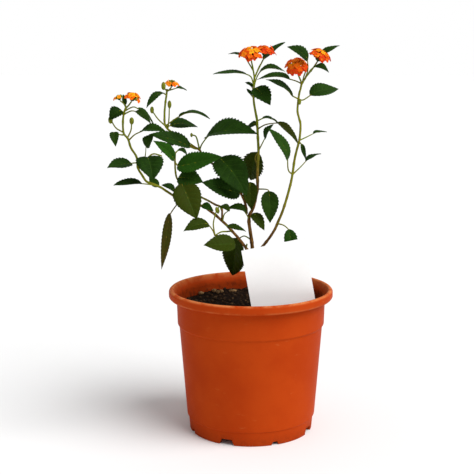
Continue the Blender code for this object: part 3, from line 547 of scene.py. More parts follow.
def floret(surface, start, top, axis, reach, limb, tone, rng):
    """A tube that bends from its start up to its top and opens into four round lobes.

    Limb radii are scaled by 0.58 + 0.42 |cos 2a|^0.55, which makes the four lobes. The tube is
    pulled to its start by (start - root)(1 - height / reach)^2, where root is reach below the top.
    """
    out_mm, out_share, up_share, up_mm, lobed = FLORET_PROFILE.T[..., None]
    rise = up_share * reach + up_mm * MM
    angle = round_steps(LOBE_STEPS)
    lobes = 0.58 + 0.42 * np.abs(np.cos(2 * angle)) ** 0.55
    lobes = lobes * (1 + 0.1 * np.cos(angle)) * (1 + 0.04 * np.sin(9 * angle + rng.uniform(0, 6)))
    radius = (out_mm * MM + out_share * limb) * (1 + lobed * (lobes - 1))
    droop = rng.uniform(-0.05, 0.12) * radius ** 2 / limb + rng.uniform(-0.12, 0.12) * radius * np.cos(angle)
    spin = angle + rng.uniform(0, math.tau)
    root = top - axis * reach
    pull = np.clip(1 - rise / reach, 0, 1) ** 2
    centre = root + pull[..., None] * (start - root)
    points = centre + radius[..., None] * ring(*beside(axis), spin) + (rise - droop * lobed)[..., None] * axis
    radial = np.clip(radius / limb, 0, 1) * (rise > reach * 0.6)
    surface.add(points, radial=radial, tone=np.clip(tone, 0, 1))


def young_bud(surface, root, axis, reach, width, tone, green):
    """A closed floret, green or already coloured: a thin neck that swells into a small rounded club."""
    share = np.linspace(0, 1, 9)[:, None]
    radius = width * np.interp(share, [0, 0.55, 0.8, 0.95, 1.0], [0.35, 0.45, 1.0, 0.7, 0.0])
    rings = ring(*beside(axis), round_steps(8)) * radius[..., None]
    surface.add(root + rings + axis * (share * reach)[..., None], slot=1 if green else 0,
                radial=0.6, tone=tone, along=share * 0.6)


def bract(surface, root, out, axis, length):
    """A narrow green scale below the florets: half width sin(pi t^0.7)^0.8, curving out and up."""
    t = np.linspace(0.02, 0.98, 8)[:, None]
    centre = root + out * (length * t * 0.8) + axis * (length * (0.5 * t + 0.4 * t * t))
    side = unit(np.cross(axis, out))
    half = side * (BRACT_WIDTH / 2 * np.sin(math.pi * t ** 0.7) ** 0.8)
    thick = unit(np.cross(side, axis + out)) * 0.25 * MM
    surface.add(np.stack([centre + half, centre + thick, centre - half, centre - thick], axis=1),
                slot=2, tone=0.5)


def flower_head(surface, spec, seed, settings):
    """Florets on a dome by the golden angle, the outer ones redder, and some of them still closed."""
    seat, heading, width, count, ripeness, closed = spec
    rng = np.random.default_rng(100 + seed)
    axis = unit(np.asarray(heading, float))
    side, other = beside(axis)
    radius = width * MM / 2
    start = view_point(seat)[0] + axis * SEAT_LIFT
    core = radius * CORE_SHARE
    centre = start + axis * core
    surface.add(centre + core * sphere(12, 16) @ np.stack([side, other, axis]), slot=2, tone=0.5)
    for i in range(BRACTS):
        out = ring(side, other, i * math.tau / BRACTS + rng.uniform(-0.2, 0.2))
        bract(surface, start + axis * core * 0.3, out, axis, radius * BRACT_REACH)
    for i in range(count):
        share = (i + 0.5) / count
        slope = STEEPEST * math.sqrt(share)
        out = ring(side, other, i * GOLDEN_ANGLE + rng.uniform(-0.25, 0.25))
        spread = radius * rng.uniform(*SPREAD) * math.sin(slope)
        rise = radius * (settings.dome * math.cos(slope) + rng.uniform(-0.07, 0.10))
        top = start + axis * (core + rise) + out * spread
        facing = unit(out * math.sin(slope) + axis * rng.uniform(0.7, 1.3))
        tone = (share * 0.9 + rng.uniform(-0.28, 0.28)) * ripeness / 0.6
        foot = centre + out * core * 0.6 * math.sin(slope)
        reach = np.linalg.norm(top - foot)
        if rng.uniform(0, 1) < closed:
            young_bud(surface, foot, unit(top - foot), reach, BUD_WIDTH, tone + 0.3, closed > GREEN_FROM)
        else:
            limb = min(settings.lobe_reach, radius * WIDEST_LIMB) * rng.uniform(0.85, 1.1)
            floret(surface, foot, top, facing, TUBE_SHARE * reach + TUBE_EXTRA, limb, tone, rng)


# Materials

class Nodes:
    """Short calls that add nodes to a tree. Inputs may be numbers, colours or other nodes' sockets."""

    def __init__(self, tree):
        self.tree = tree

    def feed(self, socket, value):
        """Links a socket to the input, or sets the number or colour on it."""
        if isinstance(value, bpy.types.NodeSocket):
            self.tree.links.new(value, socket)
        elif socket.type == "RGBA":
            socket.default_value = (*value[:3], 1.0)
        else:
            socket.default_value = value

    def put(self, kind, inputs, **settings):
        """A node with its settings, and its inputs given by name or number."""
        made = self.tree.nodes.new(kind)
        for key, value in settings.items():
            setattr(made, key, value)
        for key, value in inputs.items():
            self.feed(made.inputs[key], value)
        return made

    def maths(self, operation, *values):
        return self.put("ShaderNodeMath", dict(enumerate(values)), operation=operation).outputs[0]

    def times(self, first, second):
        return self.maths("MULTIPLY", first, second)

    def plus(self, first, second):
        return self.maths("ADD", first, second)

    def most(self, first, second):
        return self.maths("MAXIMUM", first, second)

    def scaled(self, value, factor, offset):
        """value x factor + offset."""
        return self.maths("MULTIPLY_ADD", value, factor, offset)

    def mixed(self, factor, first, second):
        """The first colour at 0 and the second at 1."""
        return self.put("ShaderNodeMix", {0: factor, 6: first, 7: second}, data_type="RGBA").outputs[2]

    def ramp(self, factor, low, high):
        """0 at low, 1 at high, smooth between."""
        return self.put("ShaderNodeMapRange", {0: factor, 1: low, 2: high},
                        interpolation_type="SMOOTHSTEP").outputs[0]

    def value(self, name):
        """The mesh's attribute of this name."""
        return self.put("ShaderNodeAttribute", {}, attribute_name=name).outputs["Fac"]

    def place(self):
        return self.put("ShaderNodeTexCoord", {}).outputs["Object"]

    def noise(self, scale, detail, rough, stretch=None):
        where = self.place()
        if stretch:
            where = self.put("ShaderNodeMapping", {"Vector": where, "Scale": stretch}).outputs[0]
        return self.put("ShaderNodeTexNoise", {
            "Vector": where, "Scale": scale, "Detail": detail, "Roughness": rough}).outputs["Fac"]

    def cells(self, scale, feature):
        """The outputs of a cell pattern."""
        inputs = {"Vector": self.place(), "Scale": scale}
        return self.put("ShaderNodeTexVoronoi", inputs, feature=feature).outputs

    def speckle(self, blotch_scale, grain_scale):
        """Soft blotches and fine grain, from the shared group."""
        group = bpy.data.node_groups.get(SPECKLE) or speckle_group()
        made = self.put("ShaderNodeGroup", {}, node_tree=group)
        made.inputs[0].default_value = blotch_scale
        made.inputs[1].default_value = grain_scale
        return made.outputs[0], made.outputs[1]


SPECKLE = "Blotch and grain"
# Cells a metre in the leaves' net of veins and in the soil
NET_SCALE = 620.0
CRUMB_SCALE = 420.0


def speckle_group():
    """A shared node group: soft blotches and fine grain, as one mask each."""
    group = bpy.data.node_groups.new(SPECKLE, "ShaderNodeTree")
    for name, default in (("Blotch scale", 40.0), ("Grain scale", 400.0)):
        socket = group.interface.new_socket(name, in_out="INPUT", socket_type="NodeSocketFloat")
        socket.default_value = default
    for name in ("Blotch", "Grain"):
        group.interface.new_socket(name, in_out="OUTPUT", socket_type="NodeSocketFloat")
    start = group.nodes.new("NodeGroupInput")
    end = group.nodes.new("NodeGroupOutput")
    nodes = Nodes(group)
    for index, name in enumerate(("Blotch", "Grain")):
        cloud = nodes.noise(start.outputs[index], 5.0, 0.6)
        group.links.new(nodes.ramp(cloud, 0.36, 0.66), end.inputs[name])
    return group


class Finish(Nodes):
    """A material in the making."""

    def __init__(self, name):
        self.material = bpy.data.materials.new(name)
        self.material.use_nodes = True
        super().__init__(self.material.node_tree)

    def finished(self, paint, roughness, specular, relief=None, depth=0.0, strength=1.0):
        """The material with its shader fed, and a bump from the relief, depth high."""
        shader = self.tree.nodes["Principled BSDF"]
        self.feed(shader.inputs["Base Color"], paint)
        self.feed(shader.inputs["Roughness"], roughness)
        self.feed(shader.inputs["Specular IOR Level"], specular)
        if relief:
            bump = self.put("ShaderNodeBump", {"Height": relief, "Distance": depth, "Strength": strength})
            self.feed(shader.inputs["Normal"], bump.outputs[0])
        return self.material


def leaf_material(settings):
    """Green, olive or brown by age, with a midrib, side veins, a fine net and a paler back."""
    leaf = Finish("lantana leaf")
    along, across, under, age, tone = map(leaf.value, ("along", "across", "under", "age", "tone"))
    blotch, grain = leaf.speckle(90.0, 900.0)
    reach = leaf.maths("ABSOLUTE", across)
    slanted = leaf.maths("SUBTRACT", along, leaf.times(reach, VEIN_SLANT))
    phase = leaf.maths("FRACT", leaf.times(slanted, SIDE_VEINS))
    near_vein = leaf.maths("ABSOLUTE", leaf.maths("SUBTRACT", phase, 0.5))
    side_vein = leaf.times(leaf.ramp(near_vein, 0.42, 0.5), leaf.ramp(reach, 1.0, 0.6))
    midrib = leaf.ramp(reach, 0.09, 0.0)
    veins = leaf.most(side_vein, midrib)
    netting = leaf.ramp(leaf.cells(NET_SCALE, "DISTANCE_TO_EDGE")["Distance"], 0.12, 0.0)
    lightness = leaf.scaled(tone, 0.6, leaf.times(blotch, 0.4))
    fresh = leaf.mixed(lightness, settings.leaf_dark, settings.leaf_light)
    young = leaf.mixed(leaf.ramp(age, -0.05, -0.5), fresh, settings.leaf_young)
    olive = leaf.mixed(leaf.ramp(age, 0.1, 0.5), young, settings.leaf_olive)
    withered = leaf.times(leaf.ramp(age, 0.45, 0.95), leaf.scaled(blotch, 0.6, 0.5))
    worn = leaf.mixed(withered, olive, settings.leaf_brown)
    veined = leaf.mixed(leaf.times(veins, 0.30), worn, settings.vein)
    netted = leaf.mixed(leaf.times(netting, 0.12), veined, settings.vein)
    backed = leaf.mixed(leaf.times(under, 0.75), netted, settings.leaf_back)
    dulled = leaf.plus(leaf.scaled(under, 0.3, 0.36), leaf.times(grain, 0.16))
    height = leaf.maths("SUBTRACT", 1.0, leaf.most(leaf.times(netting, 0.5), veins))
    return leaf.finished(backed, dulled, 0.03, height, 0.28 * MM, 0.8)


def stem_material(settings):
    """Green to tan skin, and streaked brown bark where the stem is woody."""
    stem = Finish("lantana stem")
    wood, tone = stem.value("wood"), stem.value("tone")
    blotch, grain = stem.speckle(260.0, 1600.0)
    warmth = stem.scaled(tone, 0.5, stem.times(blotch, 0.5))
    green = stem.mixed(warmth, settings.stem_green, settings.stem_tan)
    streak = stem.noise(500.0, 3.0, 0.6, (1.0, 1.0, 0.15))
    bark = stem.mixed(stem.ramp(streak, 0.35, 0.7), settings.bark_dark, settings.bark_light)
    rough = stem.plus(stem.times(streak, wood), stem.times(grain, 0.3))
    paint = stem.mixed(wood, green, bark)
    return stem.finished(paint, stem.scaled(wood, 0.3, 0.5), 0.05, rough, 0.5 * MM, 0.7)


def bud_material(name, green, tip, shade):
    """Green with a coloured tip and blotches of a third colour."""
    bud = Finish(name)
    tip_share = bud.times(bud.ramp(bud.value("along"), 0.55, 1.0), bud.value("tone"))
    blotch, grain = bud.speckle(600.0, 2000.0)
    paint = bud.mixed(bud.times(blotch, 0.35), bud.mixed(tip_share, green, tip), shade)
    return bud.finished(paint, 0.6, 0.05, grain, 0.2 * MM, 0.6)


def closed_bud_material(settings):
    return bud_material("lantana bud", settings.bud_green, settings.bud_tip, settings.leaf_light)


def bract_material(settings):
    return bud_material("lantana bract", settings.leaf_light, settings.leaf_dark, settings.leaf_dark)


def petal_material(settings):
    """Yellow turning orange and red with the floret's tone, round a warm throat."""
    petal = Finish("lantana petal")
    tone = petal.value("tone")
    blotch, grain = petal.speckle(400.0, 2400.0)
    warm = petal.mixed(petal.ramp(tone, 0.05, 0.45), settings.petal_yellow, settings.petal_orange)
    full = petal.mixed(petal.ramp(tone, 0.4, 0.85), warm, settings.petal_red)
    shaded = petal.mixed(petal.times(blotch, 0.3), full, settings.petal_orange)
    paint = petal.mixed(petal.ramp(petal.value("radial"), 0.1, 0.42), settings.petal_throat, shaded)
    return petal.finished(paint, 0.62, 0.05, grain, 0.15 * MM, 0.5)


def pot_material(settings):
    """Patchy plastic, pale where scratched, with a strip at the lip and rim that is worn plastic and painted
    highlight, and specks and a film of dirt inside.
    """
    pot = Finish("terracotta plastic")
    blotch, grain = pot.speckle(18.0, 1400.0)
    body = pot.mixed(pot.times(blotch, 0.5), settings.body, settings.body_pale)
    scratch = pot.ramp(pot.noise(60.0, 8.0, 0.7, (1.0, 1.0, 3.0)), 0.62, 0.72)
    # Patchy pale strip at the lip and the rim's lower edge: worn plastic with a painted highlight.
    rubbed_and_highlit = pot.times(pot.value("wear"), pot.ramp(pot.noise(90.0, 6.0, 0.6), 0.3, 0.62))
    scuffs_and_highlight = pot.most(pot.times(scratch, settings.scuffs), pot.times(rubbed_and_highlit, 0.95))
    # Pale over the scratches and over the painted highlight on the lip and rim edge.
    worn = pot.mixed(scuffs_and_highlight, body, settings.pale_scuff_and_highlight)
    specks = pot.most(pot.ramp(pot.noise(150.0, 8.0, 0.75), 0.45, 0.58), settings.dirt_film)
    soiled = pot.times(pot.value("dirt"), specks)
    dulled = pot.scaled(scratch, 0.25, pot.scaled(soiled, 0.4, 0.42))
    return pot.finished(pot.mixed(soiled, worn, settings.dirt), dulled, 0.01, grain, 0.08 * MM, 0.5)


def soil_material(settings):
    """Dark and brown blotches, crumbly cells, and a pale bit in a few of the cells."""
    soil = Finish("potting soil")
    blotch, grain = soil.speckle(160.0, 1100.0)
    dark = soil.mixed(blotch, settings.soil_dark, settings.soil_brown)
    cells = soil.cells(CRUMB_SCALE, "F1")
    chance = soil.put("ShaderNodeSeparateColor", {0: cells["Color"]}).outputs[0]
    paint = soil.mixed(soil.times(soil.ramp(chance, 0.975, 0.99), 0.35), dark, settings.bark_bits)
    height = soil.scaled(cells["Distance"], -1.2, grain)
    return soil.finished(paint, 0.95, 0.1, height, 1.2 * MM, 0.9)


def chip_material(settings):
    """Soil brown to pale bark by the lump's tone."""
    chip = Finish("bark chip")
    blotch, grain = chip.speckle(300.0, 1500.0)
    chips = chip.mixed(chip.value("tone"), settings.soil_brown, settings.bark_bits)
    paint = chip.mixed(chip.times(blotch, 0.5), chips, settings.soil_dark)
    return chip.finished(paint, 0.9, 0.15, grain, 0.4 * MM, 0.7)


def card_material(settings):
    """White card, faintly mottled, with a smudge of soil at its foot."""
    card = Finish("label card")
    blotch, grain = card.speckle(30.0, 900.0)
    paper = card.mixed(card.times(blotch, 0.35), settings.card, settings.card_shade)
    foot = card.ramp(card.value("low"), 0.72, 1.0)
    smudge = card.times(foot, card.ramp(card.noise(170.0, 7.0, 0.7), 0.5, 0.72))
    return card.finished(card.mixed(smudge, paper, settings.card_dirt), 0.62, 0.5, grain, 0.06 * MM, 0.4)


# Pot

NOTCHES = 8
# Height, half width at the ground and half width at the top, of the wide and of the narrow notches
NOTCH_SIZES = ((6.0 * MM, 8.2 * MM, 5.6 * MM), (3.6 * MM, 4.0 * MM, 2.4 * MM))
NOTCH_STEP = math.tau / NOTCHES
FOOT_RADIUS = 64.3 * MM
DRAINS = 6
DRAIN_RADIUS = 4 * MM
DRAIN_CIRCLE = 36 * MM
DRAIN_MIDDLE = 9 * MM
DRAIN_DEPTH = 8 * MM

# Radius and height in mm of the profile's corners, and the radius in mm that rounds each corner
# between the first and the last: the underside, the outer wall and rim, and the inner wall and floor
POT_CORNERS = [
    (0, 0, None), (13, 0, 0.4), (14, 7.5, 0.6), (62.2, 7.5, 0.8), (61.6, 0, 0.5), (64.3, 0, 0.5),
    (65.6, 14.7, 0.8), (67.1, 15.5, 0.8), (74.5, 111, 0.8), (76.2, 112.5, 0.8), (77, 139, 1.2),
    (83.4, 139.5, 0.8), (85, 141.2, 1.0), (85, 146.8, 1.0), (83, 149, 1.1), (80.6, 148.6, 1.2),
    (75.7, 140, 3.0), (74.9, 113, 0.8), (72.7, 111, 0.8), (63.4, 10, 2.0), (0, 10, None)]


def rounded(corners, steps=5):
    """The run of corners with each inner one turned into a short arc: a quadratic curve between the
    points that lie one radius before and after the corner."""
    points = np.array([corner[:2] for corner in corners]) * MM
    held = [points[:1]]
    for before, corner, after, spec in zip(points[:-2], points[1:-1], points[2:], corners[1:-1]):
        back, ahead = before - corner, after - corner
        cut = min(spec[2] * MM, 0.45 * np.linalg.norm(back), 0.45 * np.linalg.norm(ahead))
        start, end = corner + unit(back) * cut, corner + unit(ahead) * cut
        t = np.linspace(0, 1, steps)[:, None]
        held.append((1 - t) ** 2 * start + 2 * t * (1 - t) * corner + t ** 2 * end)
    held.append(points[-1:])
    return np.concatenate(held)


def pot_profile():
    """(radius, height, on the foot's edge, dirt, wear), from the pad's middle out, up and over.

    Dirt fades over 14 mm below the soil's rim inside; outside, the pot darkens towards the ground over
    the last 6 mm, to 0.35 of full. The pale edge strip is exp(-(distance / width)^2) at the lip and at
    the rim's lower edge: partly worn plastic and partly a painted highlight along these rounded edges.
    """
    radius, height = rounded(POT_CORNERS).T
    share = np.arange(len(radius)) / len(radius)
    on_foot = (radius > 60 * MM) & (radius < 66.2 * MM) & (height < 7.2 * MM) & (share < 0.5)
    inside = np.where(share > 0.76, np.clip((145 * MM - height) / (14 * MM), 0, 1), 0.0)
    # Inside: a film of dirt below the soil's rim. Outside: darker towards the ground over the last 6 mm, up
    # to 0.35.
    dirt = np.maximum(inside, 0.35 * np.clip((6 * MM - height) / (6 * MM), 0, 1))
    # Pale strip at the lip and at the rim's lower edge: partly worn plastic, partly a painted highlight.
    lip = np.exp(-((height - 148.4 * MM) / (1.0 * MM)) ** 2)
    band = 0.5 * np.exp(-((height - 141 * MM) / (0.8 * MM)) ** 2) * (radius > 82 * MM)
    return [values[:, None] for values in (radius, height, on_foot, dirt, np.maximum(lip, band))]


def notch_lift(angle):
    """How far the foot's edge is lifted at each angle: a trapezoid over each notch, wide and narrow
    by turns."""
    lift = np.zeros_like(angle)
    for kind, (height, low, high) in enumerate(NOTCH_SIZES):
        start = angle + math.pi / 2 + (1 - kind) * NOTCH_STEP
        off = np.abs(start % (2 * NOTCH_STEP) - NOTCH_STEP / 2) * FOOT_RADIUS
        lift = np.maximum(lift, height * np.clip((low - off) / (low - high), 0, 1))
    return lift


def pot_angles():
    """Even steps, with the corners of each notch among them."""
    halves = [half for size in NOTCH_SIZES for half in size[1:]]
    corner = [NOTCH_STEP / 2 + sign * half / FOOT_RADIUS for sign in (-1, 1) for half in halves]
    within = np.sort(np.concatenate([np.arange(24) * NOTCH_STEP / 24, corner]))
    return (np.arange(NOTCHES)[:, None] * NOTCH_STEP + within).ravel() - math.pi / 2


def drained(pot):
    """Cuts the drain holes through the pot's floor."""
    cutters = bpy.data.collections.new("drain cutters")
    bpy.context.scene.collection.children.link(cutters)
    for angle in round_steps(DRAINS):
        place = (DRAIN_CIRCLE * math.cos(angle), DRAIN_CIRCLE * math.sin(angle), DRAIN_MIDDLE)
        bpy.ops.mesh.primitive_cylinder_add(
            vertices=32, radius=DRAIN_RADIUS, depth=DRAIN_DEPTH, location=place)
        cutter = bpy.context.object
        for held in list(cutter.users_collection):
            held.objects.unlink(cutter)
        cutters.objects.link(cutter)
    cut = pot.modifiers.new("Drain holes", "BOOLEAN")
    cut.operation = "DIFFERENCE"
    cut.operand_type = "COLLECTION"
    cut.collection = cutters
    with bpy.context.temp_override(object=pot, active_object=pot, selected_objects=[pot]):
        bpy.ops.object.modifier_apply(modifier=cut.name)
    for cutter in list(cutters.objects):
        bpy.data.objects.remove(cutter, do_unlink=True)
    bpy.data.collections.remove(cutters)


# Soil

SOIL_LEVEL = 130 * MM
SOIL_RADIUS = 74.8 * MM
CRUMB_REACH = 73 * MM
CRUMB_LIMIT = 74.5 * MM
LEAST_CRUMB = 0.4 * MM
CHIP_EVERY = 41
BIT_SIZE = 2.4 * MM
CRUMB_SEED = 3
BIT_SEED = 5
# Radius and height in mm down the pot's wall and in under the soil
SOIL_SIDE = [(74.4, 113.4), (72.1, 111.2), (63.0, 10.3), (0.01, 10.3)]
# Pale bark bits that show at the back of the soil
BARK_BITS = [(201, 292, 46), (214, 291, 52), (218, 292, 47), (221, 290.5, 53), (231, 289, 58), (234, 290, 54)]


def soil_height(x, y):
    """The frame's crossing waves with finer ones, in metres."""
    waves = 1.2 * np.sin(90 * x + 1.0) * np.cos(75 * y) + 0.7 * np.sin(210 * x - 160 * y)
    fine = 0.5 * np.sin(520 * x + 3 * np.sin(310 * y))
    finest = 0.35 * np.sin(900 * y - 410 * x + 2 * np.sin(700 * x))
    return SOIL_LEVEL + (waves + fine + finest + 260 * (x * x + y * y)) * MM


def soil_body(surface):
    """Top rings that follow soil_height, then down the pot's wall and in under it, closed at both poles."""
    angle = round_steps(180)
    top = lathed(np.append(0.0, np.linspace(0.05, 1.0, 60))[:, None] * SOIL_RADIUS, 0.0, angle)
    top[..., 2] = soil_height(top[..., 0], top[..., 1])
    radius, height = np.array(SOIL_SIDE).T[..., None] * MM
    surface.add(np.concatenate([top, lathed(radius, height, angle)]), turned=True)


def crumb(surface, place, size, stretch, tone, rng):
    """A lump: a sphere of 6 x 8 points whose radius is jittered, flattened and turned."""
    radius = size * (1 + rng.uniform(-0.22, 0.22, (6, 8)))
    radius[[0, -1]] = radius[[0, -1]].mean(axis=1, keepdims=True)
    turn = turned_about(2, rng.uniform(0, math.tau)) @ turned_about(0, rng.uniform(-0.5, 0.5))
    points = radius[..., None] * sphere(6, 8) * stretch
    surface.add(points @ turn.T + place, slot=1, tone=tone)


def scatter_crumbs(surface, count):
    """Crumbs of soil and a few pale bark chips, evenly over the disc."""
    rng = np.random.default_rng(CRUMB_SEED)
    for i in range(count):
        out = CRUMB_REACH * math.sqrt(rng.uniform(0, 1))
        angle = rng.uniform(0, math.tau)
        x, y = out * math.cos(angle), out * math.sin(angle)
        size = min(rng.uniform(0.6, 1.0) ** 2 * 2.0 * MM, CRUMB_LIMIT - out)
        if size < LEAST_CRUMB:
            continue
        chip = i % CHIP_EVERY == 0
        stretch = (1.7, 0.9, 0.5) if chip else (1.0, 0.9, 0.8)
        tone = rng.uniform(0.4, 0.9) if chip else rng.uniform(0.0, 0.12)
        crumb(surface, np.array([x, y, soil_height(x, y) + size * 0.15]), size, stretch, tone, rng)


def bark_bits(surface):
    """The lumps at BARK_BITS, each raised 1.5 mm above the soil's surface."""
    rng = np.random.default_rng(BIT_SEED)
    for place in view_point(BARK_BITS):
        place[2] = soil_height(place[0], place[1]) + 1.5 * MM
        crumb(surface, place, BIT_SIZE, (1.4, 1.0, 0.8), rng.uniform(0.6, 1.0), rng)


# Label

CARD_WIDTH = 65 * MM
CARD_HEIGHT = 79 * MM
CARD_BOW = 0.5 * MM
CARD_ROLL = math.radians(9.8)
CARD_LEAN = math.radians(2)
CARD_TURN = math.radians(9)
CARD_TOP_LEFT = (241.3, 250.8, -42)


def card_points(across, down, off):
    """World places of card coordinates: right of and below its top left corner, and off its face."""
    turn = turned_about(2, CARD_TURN) @ turned_about(0, -CARD_LEAN) @ turned_about(1, -CARD_ROLL)
    flat = np.stack(np.broadcast_arrays(across, off, -down), axis=-1)
    return flat @ turn.T + view_point(CARD_TOP_LEFT)[0]


def card_body(surface, thickness):
    """A thin sheet with a slight bow: off = bow sin(pi u) sin(pi v), two faces joined at the edge."""
    u = np.linspace(0, 1, 33)
    v = np.linspace(0, 1, 41)[:, None]
    bow = CARD_BOW * np.sin(math.pi * u) * np.sin(math.pi * v)
    across, down = CARD_WIDTH * u, CARD_HEIGHT * v
    surface.add_sheet(card_points(across, down, bow - thickness / 2),
                      card_points(across, down, bow + thickness / 2), low=v)


# Settings

def number_prop(name, description, default, **more):
    return bpy.props.FloatProperty(name=name, description=description, default=default, **more)


def length_prop(name, description, default):
    return number_prop(name, description, default, unit="LENGTH")


def angle_prop(name, description, degrees):
    return number_prop(name, description, math.radians(degrees), unit="ROTATION")


def colour_prop(name, place, default):
    return bpy.props.FloatVectorProperty(name=name, description="Colour of " + place, default=default,
                                         size=3, min=0.0, max=1.0, subtype="COLOR")


class FoliageSettings(bpy.types.PropertyGroup):
    thickness: length_prop("Leaf thickness", "Thickness of a leaf blade", 0.45 * MM)
    petiole: length_prop("Petiole radius", "Radius of a leaf stalk", 0.72 * MM)
    quilting: length_prop("Quilting", "Rise of the leaf between its side veins", 0.55 * MM)
    tooth_depth: number_prop("Tooth depth", "Depth of the edge teeth over the half width", 0.09)
    fold: number_prop("Fold", "Rise of each half leaf from the midrib, in degrees", 14.0)
    leaf_dark: colour_prop("Dark leaf", "the darkest leaves", (0.0048, 0.0175, 0.0016))
    leaf_light: colour_prop("Light leaf", "the lighter leaves", (0.019, 0.060, 0.005))
    leaf_young: colour_prop("Young leaf", "the youngest leaves", (0.021, 0.092, 0.005))
    leaf_olive: colour_prop("Olive leaf", "ageing leaves", (0.028, 0.043, 0.0022))
    leaf_brown: colour_prop("Brown leaf", "withered leaves", (0.060, 0.036, 0.006))
    leaf_back: colour_prop("Leaf back", "a leaf's underside", (0.026, 0.060, 0.006))
    vein: colour_prop("Veins", "the veins", (0.045, 0.10, 0.012))
    stem_green: colour_prop("Green stem", "young stems", (0.15, 0.21, 0.008))
    stem_tan: colour_prop("Tan stem", "the warmer tint of young stems", (0.21, 0.17, 0.012))
    bark_dark: colour_prop("Dark bark", "old bark", (0.080, 0.034, 0.008))
    bark_light: colour_prop("Light bark", "paler streaks in the bark", (0.27, 0.135, 0.034))
    bud_green: colour_prop("Bud", "closed buds", (0.22, 0.24, 0.022))
    bud_tip: colour_prop("Bud tip", "a bud's tip", (0.14, 0.06, 0.02))


class FlowerSettings(bpy.types.PropertyGroup):
    lobe_reach: length_prop("Floret radius", "Reach of a floret's lobes", 3.3 * MM)
    dome: number_prop("Dome", "Height of a flower head's dome over its radius", 0.62)
    petal_yellow: colour_prop("Yellow petals", "newly open florets", (0.92, 0.40, 0.010))
    petal_orange: colour_prop("Orange petals", "open florets", (0.85, 0.13, 0.004))
    petal_red: colour_prop("Red petals", "old florets", (0.62, 0.028, 0.004))
    petal_throat: colour_prop("Throat", "a floret's throat", (0.75, 0.22, 0.010))


class PotSettings(bpy.types.PropertyGroup):
    body: colour_prop("Plastic", "the pot", (0.41, 0.042, 0.0045))
    body_pale: colour_prop("Pale plastic", "faded patches of the pot", (0.50, 0.062, 0.0065))
    # Pale colour of the scratches and of the painted highlight on the pot's lip and rim edge.
    pale_scuff_and_highlight: colour_prop("Scuffs", "rubbed places", (0.60, 0.19, 0.06))
    dirt: colour_prop("Dirt", "soil that sticks to the pot", (0.022, 0.011, 0.006))
    dirt_film: number_prop("Dirt film", "Strength of the thin dirt between the specks", 0.55)
    scuffs: number_prop("Scuffing", "Strength of the rubbed places", 0.28)


class SoilSettings(bpy.types.PropertyGroup):
    crumbs: bpy.props.IntProperty(name="Crumbs", description="Number of loose lumps", default=420)
    soil_dark: colour_prop("Dark soil", "moist soil", (0.0085, 0.0042, 0.0022))
    soil_brown: colour_prop("Brown soil", "drier soil", (0.024, 0.0105, 0.0042))
    bark_bits: colour_prop("Bark bits", "pale bark and grit", (0.40, 0.23, 0.10))


class LabelSettings(bpy.types.PropertyGroup):
    thickness: length_prop("Card thickness", "Thickness of the label", 0.6 * MM)
    card: colour_prop("Card", "the label", (0.95, 0.95, 0.94))
    card_shade: colour_prop("Card shade", "slightly darker patches of the label", (0.89, 0.89, 0.88))
    card_dirt: colour_prop("Card dirt", "soil on the label", (0.16, 0.10, 0.06))


class StageSettings(bpy.types.PropertyGroup):
    floor: colour_prop("Floor", "the floor", (0.86, 0.86, 0.86))
    surround: number_prop("Surround", "Strength of the light from the white surround", 0.47)
    key: number_prop("Key light", "Strength of the broad key light", 3.1)
    key_height: angle_prop("Key height", "Angle of the key light above the floor", 50)
    key_side: angle_prop("Key side", "Turn of the key light from the front to the right", 58)
    softness: angle_prop("Softness", "Apparent width of the key light", 48)


# Stage

FLOOR_SIZE = 60.0


def set_camera(scene):
    """A camera at the reference view's place, shifted to keep the pot's axis right of the middle."""
    data = bpy.data.cameras.new("reference view")
    data.sensor_width = SENSOR
    data.lens = VIEW_FOCAL / VIEW_SIDE * SENSOR
    data.shift_x = -(VIEW_AXIS_ACROSS - VIEW_CENTRE) / VIEW_SIDE
    camera = bpy.data.objects.new("reference view", data)
    camera.location = (0.0, -VIEW_DISTANCE, VIEW_HEIGHT)
    camera.rotation_euler = (math.pi / 2 - VIEW_PITCH, 0.0, 0.0)
    scene.collection.objects.link(camera)
    scene.camera = camera


def set_surround(scene, settings):
    """An even white surround, seen as pure white and lighting at its own strength."""
    world = bpy.data.worlds.new("white surround")
    world.use_nodes = True
    nodes = Nodes(world.node_tree)
    seen = nodes.put("ShaderNodeLightPath", {}).outputs["Is Camera Ray"]
    strength = nodes.put("ShaderNodeMapRange", {0: seen, 3: settings.surround, 4: 1.0}).outputs[0]
    background = world.node_tree.nodes["Background"]
    nodes.feed(background.inputs["Color"], (1.0, 1.0, 1.0))
    nodes.feed(background.inputs["Strength"], strength)
    scene.world = world
    scene.view_settings.view_transform = "Standard"


def set_key_light(scene, settings):
    """A broad, soft light from the upper right, as even over the floor as over the plant."""
    data = bpy.data.lights.new("broad key light", "SUN")
    data.energy = settings.key
    data.angle = settings.softness
    made = bpy.data.objects.new("broad key light", data)
    made.rotation_euler = (math.pi / 2 - settings.key_height, 0.0, settings.key_side)
    scene.collection.objects.link(made)


def set_floor(settings):
    """A plain pale floor that reaches past every view."""
    bpy.ops.mesh.primitive_plane_add(size=FLOOR_SIZE, location=(0.0, 0.0, 0.0))
    floor = bpy.context.object
    floor.name = "pale_floor"
    floor.data.materials.append(Finish("pale floor").finished(settings.floor, 0.8, 0.1))


# Operators

def placed(piece, node):
    """Puts a finished piece on its body and in place of its node."""
    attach(piece, BODY)
    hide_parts(node)


class LANTANA_OT_stage(bpy.types.Operator):
    """Set the floor, the lamps and the camera"""
    bl_idname = "lantana.stage"
    bl_label = "Stage"

    def execute(self, context):
        settings = context.scene.lantana_stage
        set_camera(context.scene)
        set_surround(context.scene, settings)
        set_key_light(context.scene, settings)
        set_floor(settings)
        return {"FINISHED"}


